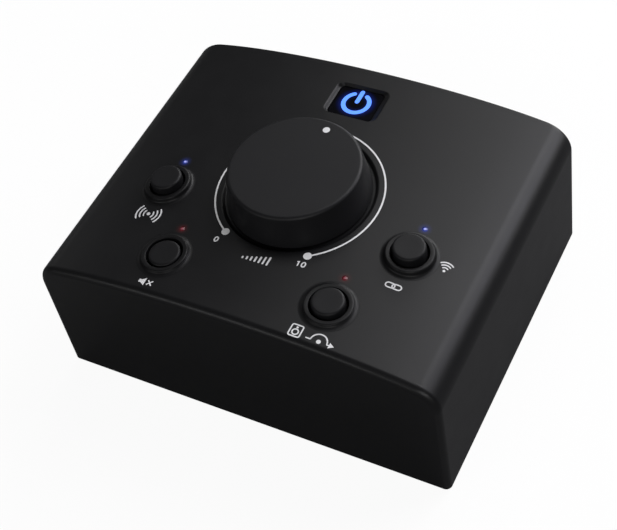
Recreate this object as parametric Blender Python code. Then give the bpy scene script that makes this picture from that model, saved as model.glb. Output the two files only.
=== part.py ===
# Studio monitor controller: a desk-top volume and switching box, in metres, +Z up, front towards -Y.
# The origin is on the desk, under the middle of the overall footprint.

import math

import bpy
import bmesh
from mathutils import Vector

# Casing
shell_width = 0.140
shell_depth = 0.110
shell_height = 0.055
shell_wall = 0.0025
crown_drop = 0.0072
crown_edge_share = 0.42
side_round = 0.0060
corner_round = 0.0045
front_round = 0.0015
foot_height = 0.0020
foot_radius = 0.0050
foot_inset = 0.0130
plate_thickness = 0.0015
gap = 0.0003
overrun = 0.0050

# Volume control
knob_forward = 0.0010
knob_height = 0.0111
knob_top_radius = 0.0215
knob_foot_radius = 0.0232
knob_rim_round = 0.0012
knob_top_wall = 0.0016
knob_running_gap = 0.0005
recess_depth = 0.0013
recess_margin = 0.0016
pointer_radius = 0.0012
pointer_inset = 0.0042
pointer_angle = math.radians(9.3)
pointer_thickness = 0.0004
shaft_radius = 0.0030
bushing_radius = 0.0045
bushing_stand = 0.0050
pot_side = 0.0160
pot_nut_flats = 0.0110
pot_nut_height = 0.0025

# Push buttons
upper_button_inset = 0.0272
upper_button_forward = 0.0110
upper_button_stand = 0.0045
lower_button_inset = 0.04155
lower_button_setback = 0.0168
mute_button_stand = 0.0011
bypass_button_stand = 0.0027
cap_radius = 0.0052
cap_thickness = 0.0055
cap_round = 0.0004
collar_base_radius = 0.0088
collar_top_radius = 0.0075
collar_bore_radius = 0.0060
upper_collar_height = 0.0019
lower_collar_height = 0.0011
spigot_wall = 0.0010
spigot_length = 0.0018
stem_radius = 0.0018
stem_reach = 0.0040
switch_side = 0.0085
switch_height = 0.0070
press_travel = 0.0015
latch_overtravel = 0.0006

# Indicator lights
light_behind_button = 0.0110
light_pipe_radius = 0.0008
chip_length = 0.0020
chip_width = 0.0012
chip_height = 0.0008

# Window over the back-lit mark
window_from_rear = 0.0148
window_width = 0.0154
window_length = 0.0134
window_corner = 0.0015
window_side_slope = 0.0016
window_end_slope = 0.0006
window_depth = 0.0015
lens_flange = 0.0018
lens_flange_thickness = 0.0010
light_box_wall = 0.0012

# Boards, bosses and screws
board_thickness = 0.0016
control_board_drop = 0.0145
control_board_margin = 0.0160
control_board_end_margin = 0.0055
boss_radius = 0.0035
boss_inset = 0.0110
post_radius = 0.0025
control_post_inset = 0.0200
control_post_back = 0.0300
standoff_height = 0.0045
main_board_front_back = 0.0100
screw_radius = 0.0015
screw_head_radius = 0.0027
screw_head_height = 0.0012
screw_length = 0.0080
rear_screw_length = 0.0060
ribbon_width = 0.0120
ribbon_thickness = 0.0008
ribbon_bow = 0.0060
ribbon_forward = 0.0120

# Rear panel sockets and switch
panel_inset = 0.0003
socket_axis_height = 0.0084
rear_reach = 0.0045
jack_width = 0.0144
jack_length = 0.0260
jack_height = 0.0160
jack_bushing_radius = 0.0056
jack_bore_radius = 0.0033
jack_bore_depth = 0.0270
jack_nut_flats = 0.0140
jack_nut_height = 0.0024
phono_pitch = 0.0122
phono_body_width = 0.0100
phono_body_length = 0.0120
phono_barrel_radius = 0.0042
phono_barrel_stand = 0.0040
phono_bore_radius = 0.0016
phono_bore_depth = 0.0080
aux_width = 0.0080
aux_length = 0.0140
aux_collar_radius = 0.0034
aux_collar_stand = 0.0012
aux_bore_radius = 0.00185
aux_bore_depth = 0.0130
inlet_width = 0.0090
inlet_length = 0.0130
inlet_height = 0.0110
inlet_bore_radius = 0.0029
inlet_pin_radius = 0.0010
inlet_bore_depth = 0.0095
rocker_height = 0.0064
rocker_half_length = 0.0050
rocker_crest = 0.0023
rocker_tilt = math.radians(10)
housing_width = 0.0135
housing_height = 0.0085
housing_length = 0.0130
housing_wall = 0.0012
housing_flange = 0.0008
housing_flange_thickness = 0.0020

output_names = ("left_output", "right_output", "sub_output")

# Facets
round_steps = 24
small_steps = 12
knob_steps = 64
fillet_steps = 6
crown_steps = 24

# Levels and places that follow from the sizes above
half_width = shell_width / 2
half_depth = shell_depth / 2
middle_y = -rear_reach / 2
front_y = middle_y - half_depth
rear_y = middle_y + half_depth
knob_y = middle_y - knob_forward
shell_low_z = foot_height
crown_z = shell_low_z + shell_height
plate_top_z = shell_low_z + plate_thickness
ceiling_z = crown_z - shell_wall
recess_floor_z = crown_z - recess_depth
control_board_top_z = crown_z - control_board_drop
control_board_low_z = control_board_top_z - board_thickness
main_board_low_z = plate_top_z + standoff_height
main_board_top_z = main_board_low_z + board_thickness
socket_z = main_board_top_z + socket_axis_height
panel_outer_y = rear_y - panel_inset
panel_inner_y = panel_outer_y - plate_thickness
reach_y = rear_y + rear_reach
boss_x = half_width - boss_inset
boss_front_y = front_y + boss_inset
boss_rear_y = panel_inner_y - gap - boss_radius
screw_hole_radius = screw_radius + gap
jack_top_z = socket_z + jack_height / 2
rear_screw_z = (jack_top_z + control_board_low_z) / 2
shaft_low_z = (control_board_top_z + ceiling_z) / 2
knob_top_z = crown_z + knob_height
shaft_top_z = knob_top_z - knob_top_wall - gap
main_board_front_y = middle_y - main_board_front_back
upper_button_side = half_width - upper_button_inset
lower_button_side = half_width - lower_button_inset
window_y = rear_y - window_from_rear
rocker_reach = math.hypot(rocker_half_length, rocker_crest)
pointer_reach = knob_top_radius - pointer_inset


def crown_height(x):
    """Height of the crowned top above the desk, at a distance x from the middle."""
    t = abs(x) / half_width
    return crown_z - crown_drop * ((1 - crown_edge_share) * t ** 2 + crown_edge_share * t ** 4)


def crown_slope(x):
    """Fall of the crowned top per metre, at x."""
    t = x / half_width
    rise = 2 * (1 - crown_edge_share) * t + 4 * crown_edge_share * t ** 3
    return rise * crown_drop / half_width


def clear_scene():
    for thing in list(bpy.data.objects):
        bpy.data.objects.remove(thing)


def finish(name, colour, roughness, metallic=0.0):
    """A Principled material of the sub-part's own."""
    material = bpy.data.materials.new(name + "_finish")
    material.use_nodes = True
    shader = material.node_tree.nodes["Principled BSDF"]
    shader.inputs["Base Color"].default_value = (*colour, 1.0)
    shader.inputs["Roughness"].default_value = roughness
    shader.inputs["Metallic"].default_value = metallic
    return material


black_plastic = ((0.020, 0.020, 0.022), 0.45, 0.0)
knob_plastic = ((0.026, 0.026, 0.030), 0.42, 0.0)
white_print = ((0.80, 0.80, 0.80), 0.50, 0.0)
black_rubber = ((0.012, 0.012, 0.012), 0.85, 0.0)
black_steel = ((0.020, 0.020, 0.021), 0.50, 0.6)
zinc_steel = ((0.62, 0.62, 0.60), 0.35, 1.0)
nickel = ((0.70, 0.69, 0.66), 0.25, 1.0)
board_green = ((0.015, 0.120, 0.045), 0.50, 0.0)
ribbon_grey = ((0.35, 0.35, 0.36), 0.60, 0.0)
smoked_glass = ((0.004, 0.004, 0.005), 0.10, 0.0)
clear_plastic = ((0.60, 0.62, 0.68), 0.20, 0.0)
white_plastic = ((0.75, 0.75, 0.74), 0.45, 0.0)
red_light = ((0.80, 0.10, 0.10), 0.30, 0.0)
blue_light = ((0.15, 0.30, 0.90), 0.30, 0.0)


def carry(carrier, *pieces):
    """Parent pieces to an unturned carrier, leaving them where they are."""
    for piece in pieces:
        piece.parent = carrier
        piece.location -= carrier.location


def stand(name, body, look, place, turn=(0, 0, 0)):
    """Make an object of a bmesh, smooth where it is round, with its own material."""
    bmesh.ops.recalc_face_normals(body, faces=body.faces)
    mesh = bpy.data.meshes.new(name)
    body.to_mesh(mesh)
    body.free()
    mesh.shade_smooth()
    mesh.set_sharp_from_angle(angle=math.radians(30))
    piece = bpy.data.objects.new(name, mesh)
    bpy.context.collection.objects.link(piece)
    piece.location = place
    piece.rotation_euler = turn
    if look:
        mesh.materials.append(finish(name, *look))
    return piece


def hide_tool(piece):
    piece.hide_render = True
    piece.display_type = "WIRE"
    return piece


def combine(target, tool, operation):
    step = target.modifiers.new(operation.lower() + "_" + tool.name, "BOOLEAN")
    step.operation = operation
    step.solver = "EXACT"
    step.object = hide_tool(tool)


def cut(target, *tools):
    for tool in tools:
        combine(target, tool, "DIFFERENCE")


def fuse(target, *tools):
    for tool in tools:
        combine(target, tool, "UNION")


def loft(rings, closed_ends=True):
    """A body through rings of equally many points."""
    body = bmesh.new()
    rows = [[body.verts.new(point) for point in ring] for ring in rings]
    for low, high in zip(rows, rows[1:]):
        for i in range(len(low)):
            j = (i + 1) % len(low)
            body.faces.new((low[i], low[j], high[j], high[i]))
    if closed_ends:
        body.faces.new(list(reversed(rows[0])))
        body.faces.new(rows[-1])
    return body


def prism(outline, low, high):
    """An outline in X and Y, extruded from low to high."""
    return loft([[(x, y, z) for x, y in outline] for z in (low, high)])


def box(width, length, low, high):
    x = width / 2
    y = length / 2
    return prism([(-x, -y), (x, -y), (x, y), (-x, y)], low, high)


def circle(radius, steps, start=0.0):
    turns = (start + 2 * math.pi * i / steps for i in range(steps))
    return [(radius * math.cos(a), radius * math.sin(a)) for a in turns]


def disc(radius, low, high, steps=round_steps):
    return prism(circle(radius, steps), low, high)


def hexagon(flats, low, high):
    return prism(circle(flats / math.sqrt(3), 6, math.pi / 6), low, high)


def rounded_rectangle(width, length, radius, steps=4):
    """Outline points, with each corner as an arc."""
    points = []
    for corner in range(4):
        sx = (1, -1, -1, 1)[corner]
        sy = (1, 1, -1, -1)[corner]
        for i in range(steps + 1):
            a = math.pi / 2 * (corner + i / steps)
            x = sx * (width / 2 - radius) + radius * math.cos(a)
            y = sy * (length / 2 - radius) + radius * math.sin(a)
            points.append((x, y))
    return points


def turned(profile, steps=round_steps, hollow=False):
    """A profile of (radius, height) turned about Z; a hollow one closes on itself."""
    body = bmesh.new()
    rows = []
    for radius, height in profile:
        if radius == 0:
            rows.append([body.verts.new((0, 0, height))])
        else:
            rows.append([body.verts.new((x, y, height)) for x, y in circle(radius, steps)])
    pairs = list(zip(rows, rows[1:]))
    if hollow:
        pairs.append((rows[-1], rows[0]))
    for low, high in pairs:
        for i in range(steps):
            j = (i + 1) % steps
            corners = [low[i % len(low)], low[j % len(low)], high[j % len(high)], high[i % len(high)]]
            body.faces.new(list(dict.fromkeys(corners)))
    return body


def rim_arc(radius, height, bend, steps=3):
    """The quarter round of a turned piece's top rim, from its wall to its face."""
    turns = (math.pi / 2 * i / steps for i in range(steps + 1))
    return [(radius - bend + bend * math.cos(a), height - bend + bend * math.sin(a)) for a in turns]


# Casing

def section(half, inset, low_z, steps_across, steps_round):
    """Outline of the casing in X and Z: up one wall, over the crown and down the other."""
    bend = max(side_round - inset, front_round)
    centre_x = half - bend
    tangent_x = centre_x
    for _ in range(8):
        lean = math.atan(crown_slope(tangent_x))
        tangent_x = centre_x + bend * math.sin(lean)
    centre_z = crown_height(tangent_x) - inset - bend * math.cos(lean)
    right = [(half, low_z)]
    for i in range(steps_round):
        a = (math.pi / 2 - lean) * i / steps_round
        right.append((centre_x + bend * math.cos(a), centre_z + bend * math.sin(a)))
    crown = []
    for i in range(steps_across + 1):
        x = tangent_x * (1 - 2 * i / steps_across)
        crown.append((x, crown_height(x) - inset))
    left = [(-x, z) for x, z in reversed(right)]
    return right + crown + left


def shell_solid(look):
    """The casing's outer form, solid: rounded upright corners and a fine round on the front edge."""
    bends = [math.pi / 2 * i / fillet_steps for i in range(fillet_steps + 1)]
    steps = [(corner_round * (1 - math.cos(a)), corner_round * (1 - math.sin(a))) for a in bends]
    rings = []
    for setback, narrowing in steps:
        rim = max(front_round - setback, 0)
        drop = front_round - math.sqrt(front_round ** 2 - rim ** 2)
        half = half_width - narrowing
        ring = section(half, 0, shell_low_z, crown_steps, fillet_steps)
        rings.append([(x, front_y + setback, z - (drop if z > shell_low_z else 0)) for x, z in ring])
    for setback, narrowing in reversed(steps):
        ring = section(half_width - narrowing, 0, shell_low_z, crown_steps, fillet_steps)
        rings.append([(x, rear_y - setback, z) for x, z in ring])
    return stand("top_shell", loft(rings), look, (0, 0, 0))


def shell_cavity():
    """The space inside the walls, open below and at the rear."""
    inner_half = half_width - shell_wall
    ring = section(inner_half, shell_wall, shell_low_z - overrun, crown_steps // 2, fillet_steps // 2)
    rings = [[(x, y, z) for x, z in ring] for y in (front_y + shell_wall, rear_y + overrun)]
    return stand("cavity_tool", loft(rings), None, (0, 0, 0))


def button_places():
    """Name, X, Y, the cap's stand and the collar's height of each button."""
    upper_y = knob_y - upper_button_forward
    lower_y = front_y + lower_button_setback
    return (
        ("wireless", -upper_button_side, upper_y, upper_button_stand, upper_collar_height),
        ("pair", upper_button_side, upper_y, upper_button_stand, upper_collar_height),
        ("mute", -lower_button_side, lower_y, mute_button_stand, lower_collar_height),
        ("sub_bypass", lower_button_side, lower_y, bypass_button_stand, lower_collar_height),
    )


def boss_places():
    return [(side * boss_x, y) for side in (-1, 1) for y in (boss_front_y, boss_rear_y)]


def control_post_places():
    x = half_width - control_post_inset
    return [(side * x, knob_y + control_post_back) for side in (-1, 1)]


def window_outline(side_spread, end_spread):
    width = window_width + 2 * side_spread
    length = window_length + 2 * end_spread
    return rounded_rectangle(width, length, window_corner + (side_spread + end_spread) / 2)


def make_top_shell():
    shell = shell_solid(black_plastic)
    cut(shell, shell_cavity())
    for i, (x, y) in enumerate(boss_places()):
        top = crown_height(x) - shell_wall / 2
        boss = disc(boss_radius, plate_top_z + gap, top)
        fuse(shell, stand("boss_tool_" + str(i), boss, None, (x, y, 0)))
        hole = disc(screw_hole_radius, shell_low_z, shell_low_z + screw_length, small_steps)
        cut(shell, stand("boss_hole_tool_" + str(i), hole, None, (x, y, 0)))
    for i, (x, y) in enumerate(control_post_places()):
        top = crown_height(x) - shell_wall / 2
        post = disc(post_radius + gap, control_board_top_z + gap, top, small_steps)
        fuse(shell, stand("post_tool_" + str(i), post, None, (x, y, 0)))
        hole_top = control_board_top_z + screw_length / 2
        hole = disc(screw_hole_radius, control_board_low_z, hole_top, small_steps)
        cut(shell, stand("post_hole_tool_" + str(i), hole, None, (x, y, 0)))
    for i, side in enumerate((-1, 1)):
        hole = disc(screw_hole_radius, -overrun, rear_screw_length, small_steps)
        place = (side * boss_x, panel_inner_y, rear_screw_z)
        cut(shell, stand("rear_hole_tool_" + str(i), hole, None, place, (math.pi / 2, 0, 0)))
    recess = disc(knob_foot_radius + recess_margin, recess_floor_z, crown_z + overrun, knob_steps)
    cut(shell, stand("recess_tool", recess, None, (0, knob_y, 0)))
    bushing = disc(bushing_radius + gap, ceiling_z - overrun, crown_z)
    cut(shell, stand("bushing_hole_tool", bushing, None, (0, knob_y, 0)))
    for name, x, y, _, _ in button_places():
        hole = disc(collar_bore_radius + spigot_wall + gap, -overrun, overrun)
        lean = math.atan(crown_slope(x))
        cut(shell, stand(name + "_hole_tool", hole, None, (x, y, crown_height(x)), (0, lean, 0)))
        pipe = disc(light_pipe_radius + gap, crown_height(x) - overrun, crown_z, small_steps)
        place = (x, y + light_behind_button, 0)
        cut(shell, stand(name + "_light_hole_tool", pipe, None, place))
    make_window_cuts(shell)
    return shell


def make_window_cuts(shell):
    """A sloped recess that narrows to the window's opening."""
    floor = crown_z - window_depth
    rise = window_depth + overrun / 5
    steepness = rise / window_depth
    rings = [[(x, y, floor) for x, y in window_outline(0, 0)]]
    mouth = window_outline(window_side_slope * steepness, window_end_slope * steepness)
    rings.append([(x, y, floor + rise) for x, y in mouth])
    place = (0, window_y, 0)
    cut(shell, stand("window_slope_tool", loft(rings), None, place))
    through = prism(window_outline(0, 0), ceiling_z - overrun, floor + gap)
    cut(shell, stand("window_tool", through, None, place))


def make_base_plate():
    """A steel plate let into the shell's open underside, with two standoffs for the main board."""
    width = shell_width - 2 * (shell_wall + gap)
    length = shell_depth - shell_wall - gap - panel_inset
    centre_y = rear_y - panel_inset - length / 2
    outline = rounded_rectangle(width, length, corner_round - shell_wall)
    plate = stand("base_plate", prism(outline, 0, plate_thickness), zinc_steel, (0, centre_y, shell_low_z))
    for i, (x, y) in enumerate(boss_places()):
        hole = disc(screw_hole_radius, -overrun, overrun, small_steps)
        cut(plate, stand("plate_hole_tool_" + str(i), hole, None, (x, y, plate_top_z)))
    for i, (x, y) in enumerate(standoff_places()):
        post = disc(post_radius, shell_low_z + plate_thickness / 2, main_board_low_z - gap, small_steps)
        fuse(plate, stand("standoff_tool_" + str(i), post, None, (x, y, 0)))
        hole = disc(screw_hole_radius, plate_top_z + gap, main_board_top_z, small_steps)
        cut(plate, stand("standoff_hole_tool_" + str(i), hole, None, (x, y, 0)))
    return plate


def make_feet():
    x = half_width - foot_inset
    for side, x_sign in (("left", -1), ("right", 1)):
        for end, y in (("front", front_y + 2 * foot_inset), ("rear", rear_y - 2 * foot_inset)):
            profile = [(0, 0)]
            profile.append((foot_radius, 0))
            profile.append((foot_radius - gap, foot_height - gap))
            profile.append((0, foot_height - gap))
            name = "foot_" + end + "_" + side
            stand(name, turned(profile), black_rubber, (x_sign * x, y, 0))


def screw(name, place, turn, length, look=zinc_steel):
    """A pan-head screw, head below its seat at 0 and shank along +Z."""
    profile = [(0, -gap - screw_head_height)]
    profile.append((screw_head_radius * 0.6, -gap - screw_head_height))
    profile.append((screw_head_radius, -gap - screw_head_height / 2))
    profile.append((screw_head_radius, -gap))
    profile.append((screw_radius, -gap))
    profile.append((screw_radius, length - gap))
    profile.append((0, length - gap))
    return stand(name, turned(profile, small_steps), look, place, turn)


def make_casing_screws():
    for i, (x, y) in enumerate(boss_places()):
        screw("base_screw_" + str(i + 1), (x, y, shell_low_z), (0, 0, 0), screw_length)
    for side, x in (("left", -boss_x), ("right", boss_x)):
        length = rear_screw_length + plate_thickness - gap
        place = (x, panel_outer_y, rear_screw_z)
        screw("rear_screw_" + side, place, (math.pi / 2, 0, 0), length, black_steel)


# Volume control

def make_pot(control_board):
    """The control's body with its threaded bushing, on the control board."""
    low = control_board_top_z + gap
    body = stand("volume_pot_body", box(pot_side, pot_side, low, ceiling_z - gap), zinc_steel, (0, knob_y, 0))
    carry(control_board, body)
    bushing = disc(bushing_radius, ceiling_z - shell_wall, recess_floor_z + bushing_stand)
    fuse(body, stand("bushing_tool", bushing, None, (0, knob_y, 0)))
    bore = disc(shaft_radius + gap, shaft_low_z - gap, crown_z + overrun)
    cut(body, stand("shaft_bore_tool", bore, None, (0, knob_y, 0)))


def make_pot_nut():
    low = recess_floor_z + gap
    nut = stand("volume_pot_nut", hexagon(pot_nut_flats, low, low + pot_nut_height), nickel, (0, knob_y, 0))
    hole = disc(bushing_radius + gap, low - overrun, low + overrun)
    cut(nut, stand("pot_nut_hole_tool", hole, None, (0, knob_y, 0)))


def make_volume_knob():
    """Knob, shaft and pointer, with their origins on the knob's axis."""
    shaft = stand("volume_shaft", disc(shaft_radius, shaft_low_z, shaft_top_z), nickel, (0, knob_y, 0))
    low = recess_floor_z + knob_running_gap
    cavity_top = recess_floor_z + bushing_stand + knob_running_gap
    cavity_radius = pot_nut_flats / math.sqrt(3) + knob_running_gap
    bore_top = knob_top_z - knob_top_wall
    profile = [(0, bore_top), (shaft_radius + gap, bore_top)]
    profile += [(shaft_radius + gap, cavity_top), (cavity_radius, cavity_top), (cavity_radius, low)]
    profile += [(knob_foot_radius, low)]
    profile += rim_arc(knob_top_radius, knob_top_z, knob_rim_round)
    profile.append((0, knob_top_z))
    knob = stand("volume_knob", turned(profile, knob_steps), knob_plastic, (0, knob_y, 0))
    x = pointer_reach * math.sin(pointer_angle)
    y = knob_y + pointer_reach * math.cos(pointer_angle)
    pocket_low = knob_top_z - pointer_thickness - gap
    pocket = disc(pointer_radius + gap / 3, pocket_low, knob_top_z + overrun, small_steps)
    cut(knob, stand("pointer_pocket_tool", pocket, None, (x, y, 0)))
    dot = disc(pointer_radius, knob_top_z - pointer_thickness, knob_top_z, small_steps)
    pointer = stand("knob_pointer", dot, white_print, (x, y, 0))
    carry(knob, shaft, pointer)


# Push buttons and indicator lights

def make_button(name, x, y, stand_height, collar_height, control_board):
    """Cap with its stem, collar and push switch."""
    surface = crown_height(x)
    top = surface + stand_height
    low = top - cap_thickness
    body_top = control_board_top_z + gap + switch_height
    pressed_low = body_top - stem_reach
    released = stand_height - mute_button_stand if name == "sub_bypass" else 0
    stem_low = pressed_low + released
    profile = [(0, stem_low), (stem_radius, stem_low), (stem_radius, low), (cap_radius, low)]
    profile += rim_arc(cap_radius, top, cap_round)
    profile.append((0, top))
    stand(name + "_button", turned(profile), knob_plastic, (x, y, 0))
    ring = [(collar_bore_radius, -spigot_length)]
    ring.append((collar_bore_radius + spigot_wall, -spigot_length))
    ring.append((collar_bore_radius + spigot_wall, gap))
    ring.append((collar_base_radius, gap))
    ring.append((collar_top_radius, collar_height))
    ring.append((collar_bore_radius, collar_height - gap))
    lean = math.atan(crown_slope(x))
    place = (x, y, surface)
    stand(name + "_collar", turned(ring, hollow=True), black_plastic, place, (0, lean, 0))
    base = box(switch_side, switch_side, control_board_top_z + gap, body_top)
    switch = stand(name + "_switch", base, black_plastic, (x, y, 0))
    bore_low = pressed_low - max(press_travel, latch_overtravel) - gap
    bore = disc(stem_radius + gap, bore_low, body_top + overrun, small_steps)
    cut(switch, stand(name + "_bore_tool", bore, None, (x, y, 0)))
    carry(control_board, switch)


def make_light(name, x, y, look, control_board):
    """An indicator chip on the board, and the light pipe from it to the top."""
    place = (x, y + light_behind_button, 0)
    chip_low = control_board_top_z + gap
    chip = box(chip_length, chip_width, chip_low, chip_low + chip_height)
    carry(control_board, stand(name + "_light_chip", chip, look, place))
    pipe = disc(light_pipe_radius, chip_low + chip_height + gap, crown_height(x) + gap / 3, small_steps)
    stand(name + "_light_pipe", pipe, look, place)


def make_window(control_board):
    """Smoked lens under the window, the light box that carries it and the chip that lights it."""
    place = (0, window_y, 0)
    lens_top = crown_z - window_depth - gap
    flange_top = crown_height(window_width / 2 + lens_flange) - shell_wall - gap
    flange_low = flange_top - lens_flange_thickness
    pane = prism(window_outline(-gap, -gap), flange_low, lens_top)
    lens = stand("window_lens", pane, smoked_glass, place)
    flange = prism(window_outline(lens_flange, lens_flange), flange_low, flange_top)
    fuse(lens, stand("lens_flange_tool", flange, None, place))
    outer = prism(window_outline(lens_flange, lens_flange), control_board_top_z + gap, flange_low - gap)
    frame = stand("window_light_box", outer, white_plastic, place)
    spread = lens_flange - light_box_wall
    inner = prism(window_outline(spread, spread), control_board_low_z, crown_z)
    cut(frame, stand("light_box_tool", inner, None, place))
    low = control_board_top_z + gap
    chip = box(2 * chip_length, 2 * chip_length, low, low + chip_height)
    carry(control_board, frame, stand("window_light_chip", chip, blue_light, place))


# Boards

def standoff_places():
    x = half_width - control_post_inset
    return [(side * x, main_board_front_y + 2 * post_radius) for side in (-1, 1)]


def board(name, width, low_y, high_y, low_z):
    plate = box(width, high_y - low_y, 0, board_thickness)
    return stand(name, plate, board_green, (0, (low_y + high_y) / 2, low_z))


def make_control_board():
    width = shell_width - 2 * control_board_margin
    plate = board("control_board", width, front_y + control_board_end_margin,
                  rear_y - control_board_end_margin, control_board_low_z)
    for i, (x, y) in enumerate(control_post_places()):
        hole = disc(screw_hole_radius, -overrun, overrun, small_steps)
        cut(plate, stand("control_hole_tool_" + str(i), hole, None, (x, y, control_board_low_z)))
        name = "control_board_screw_" + ("left", "right")[i]
        carry(plate, screw(name, (x, y, control_board_low_z), (0, 0, 0), screw_length / 2))
    return plate


def make_main_board():
    width = shell_width - 2 * control_board_margin
    plate = board("main_board", width, main_board_front_y, panel_inner_y - gap, main_board_low_z)
    for i, (x, y) in enumerate(standoff_places()):
        hole = disc(screw_hole_radius, -overrun, overrun, small_steps)
        cut(plate, stand("main_hole_tool_" + str(i), hole, None, (x, y, main_board_low_z)))
        name = "main_board_screw_" + ("left", "right")[i]
        length = board_thickness + standoff_height / 2
        carry(plate, screw(name, (x, y, main_board_top_z), (math.pi, 0, 0), length))
    return plate


def make_ribbon():
    """A flat cable in a shallow bow between the two boards."""
    low = main_board_top_z + gap
    high = control_board_low_z - gap
    steps = 16
    rings = []
    for i in range(steps + 1):
        t = i / steps
        y = ribbon_bow * math.sin(math.pi * t)
        z = low + (high - low) * t
        edge = ribbon_thickness / 2
        x = ribbon_width / 2
        rings.append([(-x, y - edge, z), (x, y - edge, z), (x, y + edge, z), (-x, y + edge, z)])
    stand("ribbon_cable", loft(rings), ribbon_grey, (0, main_board_front_y + ribbon_forward, 0))


# Rear panel, sockets and power switch

def along_y(body):
    """Turn a body from +Z to +Y, so its height runs rearwards."""
    for point in body.verts:
        x, y, z = point.co
        point.co = Vector((x, z, -y))
    return body


def socket_places():
    """Middle of each rear socket in X, spread evenly between the rear bosses."""
    widths = {"dc_inlet": inlet_width, "aux": aux_width, "phono_pair": phono_pitch + phono_body_width}
    for name in output_names:
        widths[name] = jack_width
    room = 2 * (boss_x - boss_radius)
    space = (room - sum(widths.values())) / (len(widths) + 1)
    places = {}
    edge = -room / 2
    for name, width in widths.items():
        places[name] = edge + space + width / 2
        edge += space + width
    return places


def switch_centre():
    """The power switch sits over the two small sockets, under the control board."""
    places = socket_places()
    low = main_board_top_z + inlet_height
    x = (places["dc_inlet"] + places["aux"]) / 2
    return (x, panel_outer_y, (low + control_board_low_z) / 2)


def panel_holes():
    """Name, X and radius of each round socket hole."""
    places = socket_places()
    holes = [(name, places[name], jack_bushing_radius) for name in output_names]
    for i, side in enumerate((-1, 1)):
        x = places["phono_pair"] + side * phono_pitch / 2
        holes.append(("phono_" + str(i), x, phono_barrel_radius))
    holes.append(("aux", places["aux"], aux_collar_radius))
    holes.append(("inlet", places["dc_inlet"], inlet_bore_radius + gap))
    return holes


def make_rear_panel():
    inner_half = half_width - shell_wall - gap
    ring = section(inner_half, shell_wall + gap, plate_top_z + gap, crown_steps // 2, fillet_steps // 2)
    rings = [[(x, y, z) for x, z in ring] for y in (panel_inner_y, panel_outer_y)]
    panel = stand("rear_panel", loft(rings), black_steel, (0, 0, 0))
    for name, x, radius in panel_holes():
        hole = along_y(disc(radius + gap, -overrun, overrun))
        cut(panel, stand(name + "_panel_tool", hole, None, (x, panel_outer_y, socket_z)))
    slot = along_y(box(housing_width + 2 * gap, housing_height + 2 * gap, -overrun, overrun))
    cut(panel, stand("switch_panel_tool", slot, None, switch_centre()))
    for i, x in enumerate((-boss_x, boss_x)):
        hole = along_y(disc(screw_hole_radius, -overrun, overrun, small_steps))
        cut(panel, stand("rear_screw_tool_" + str(i), hole, None, (x, panel_outer_y, rear_screw_z)))
    return panel


def make_output_jack(name, x, main_board):
    """A 6.35 mm jack: moulded body, threaded bushing with its nut, and the plug's bore."""
    face = panel_inner_y - gap
    place = (x, face, socket_z)
    low = main_board_top_z + gap - socket_z
    half = jack_width / 2
    outline = [(-half, -jack_height / 2), (half, -jack_height / 2), (half, -low), (-half, -low)]
    block = along_y(prism(outline, -jack_length, 0))
    jack = stand(name + "_jack", block, black_plastic, place)
    bushing = along_y(disc(jack_bushing_radius, -gap, reach_y - face))
    fuse(jack, stand(name + "_bushing_tool", bushing, None, place))
    bore = along_y(disc(jack_bore_radius, reach_y - face - jack_bore_depth, reach_y - face + overrun))
    cut(jack, stand(name + "_bore_tool", bore, None, place))
    carry(main_board, jack)
    nut_place = (x, panel_outer_y + gap, socket_z)
    nut = stand(name + "_nut", along_y(hexagon(jack_nut_flats, 0, jack_nut_height)), nickel, nut_place)
    hole = along_y(disc(jack_bushing_radius + gap, -overrun, overrun))
    cut(nut, stand(name + "_nut_hole_tool", hole, None, nut_place))


def make_phono_pair(main_board):
    """Two phono sockets on one moulded body."""
    face = panel_inner_y - gap
    centre = socket_places()["phono_pair"]
    low = socket_z - main_board_top_z - gap
    half = (phono_pitch + phono_body_width) / 2
    top = phono_body_width / 2
    outline = [(-half, -top), (half, -top), (half, low), (-half, low)]
    pair = stand("phono_jack_pair", along_y(prism(outline, -phono_body_length, 0)), black_plastic,
                 (centre, face, socket_z))
    for i, side in enumerate((-1, 1)):
        x = centre + side * phono_pitch / 2
        reach = panel_outer_y + phono_barrel_stand - face
        barrel = along_y(disc(phono_barrel_radius, -gap, reach))
        fuse(pair, stand("barrel_tool_" + str(i), barrel, None, (x, face, socket_z)))
        bore = along_y(disc(phono_bore_radius, reach - phono_bore_depth, reach + overrun, small_steps))
        cut(pair, stand("barrel_bore_tool_" + str(i), bore, None, (x, face, socket_z)))
    carry(main_board, pair)


def make_aux_jack(main_board):
    face = panel_inner_y - gap
    place = (socket_places()["aux"], face, socket_z)
    low = socket_z - main_board_top_z - gap
    half = aux_width / 2
    block = along_y(prism([(-half, -half), (half, -half), (half, low), (-half, low)], -aux_length, 0))
    jack = stand("aux_jack", block, black_plastic, place)
    reach = panel_outer_y + aux_collar_stand - face
    fuse(jack, stand("aux_collar_tool", along_y(disc(aux_collar_radius, -gap, reach)), None, place))
    bore = along_y(disc(aux_bore_radius, reach - aux_bore_depth, reach + overrun, small_steps))
    cut(jack, stand("aux_bore_tool", bore, None, place))
    carry(main_board, jack)


def make_dc_inlet(main_board):
    """A barrel inlet behind the panel: bore with its centre pin."""
    face = panel_inner_y - gap
    place = (socket_places()["dc_inlet"], face, socket_z)
    low = socket_z - main_board_top_z - gap
    half = inlet_width / 2
    top = inlet_height - low
    block = along_y(prism([(-half, -top), (half, -top), (half, low), (-half, low)], -inlet_length, 0))
    inlet = stand("dc_inlet", block, black_plastic, place)
    ring = turned([(inlet_pin_radius, -inlet_bore_depth), (inlet_bore_radius, -inlet_bore_depth),
                   (inlet_bore_radius, overrun), (inlet_pin_radius, overrun)], hollow=True)
    cut(inlet, stand("inlet_bore_tool", along_y(ring), None, place))
    carry(main_board, inlet)


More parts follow.
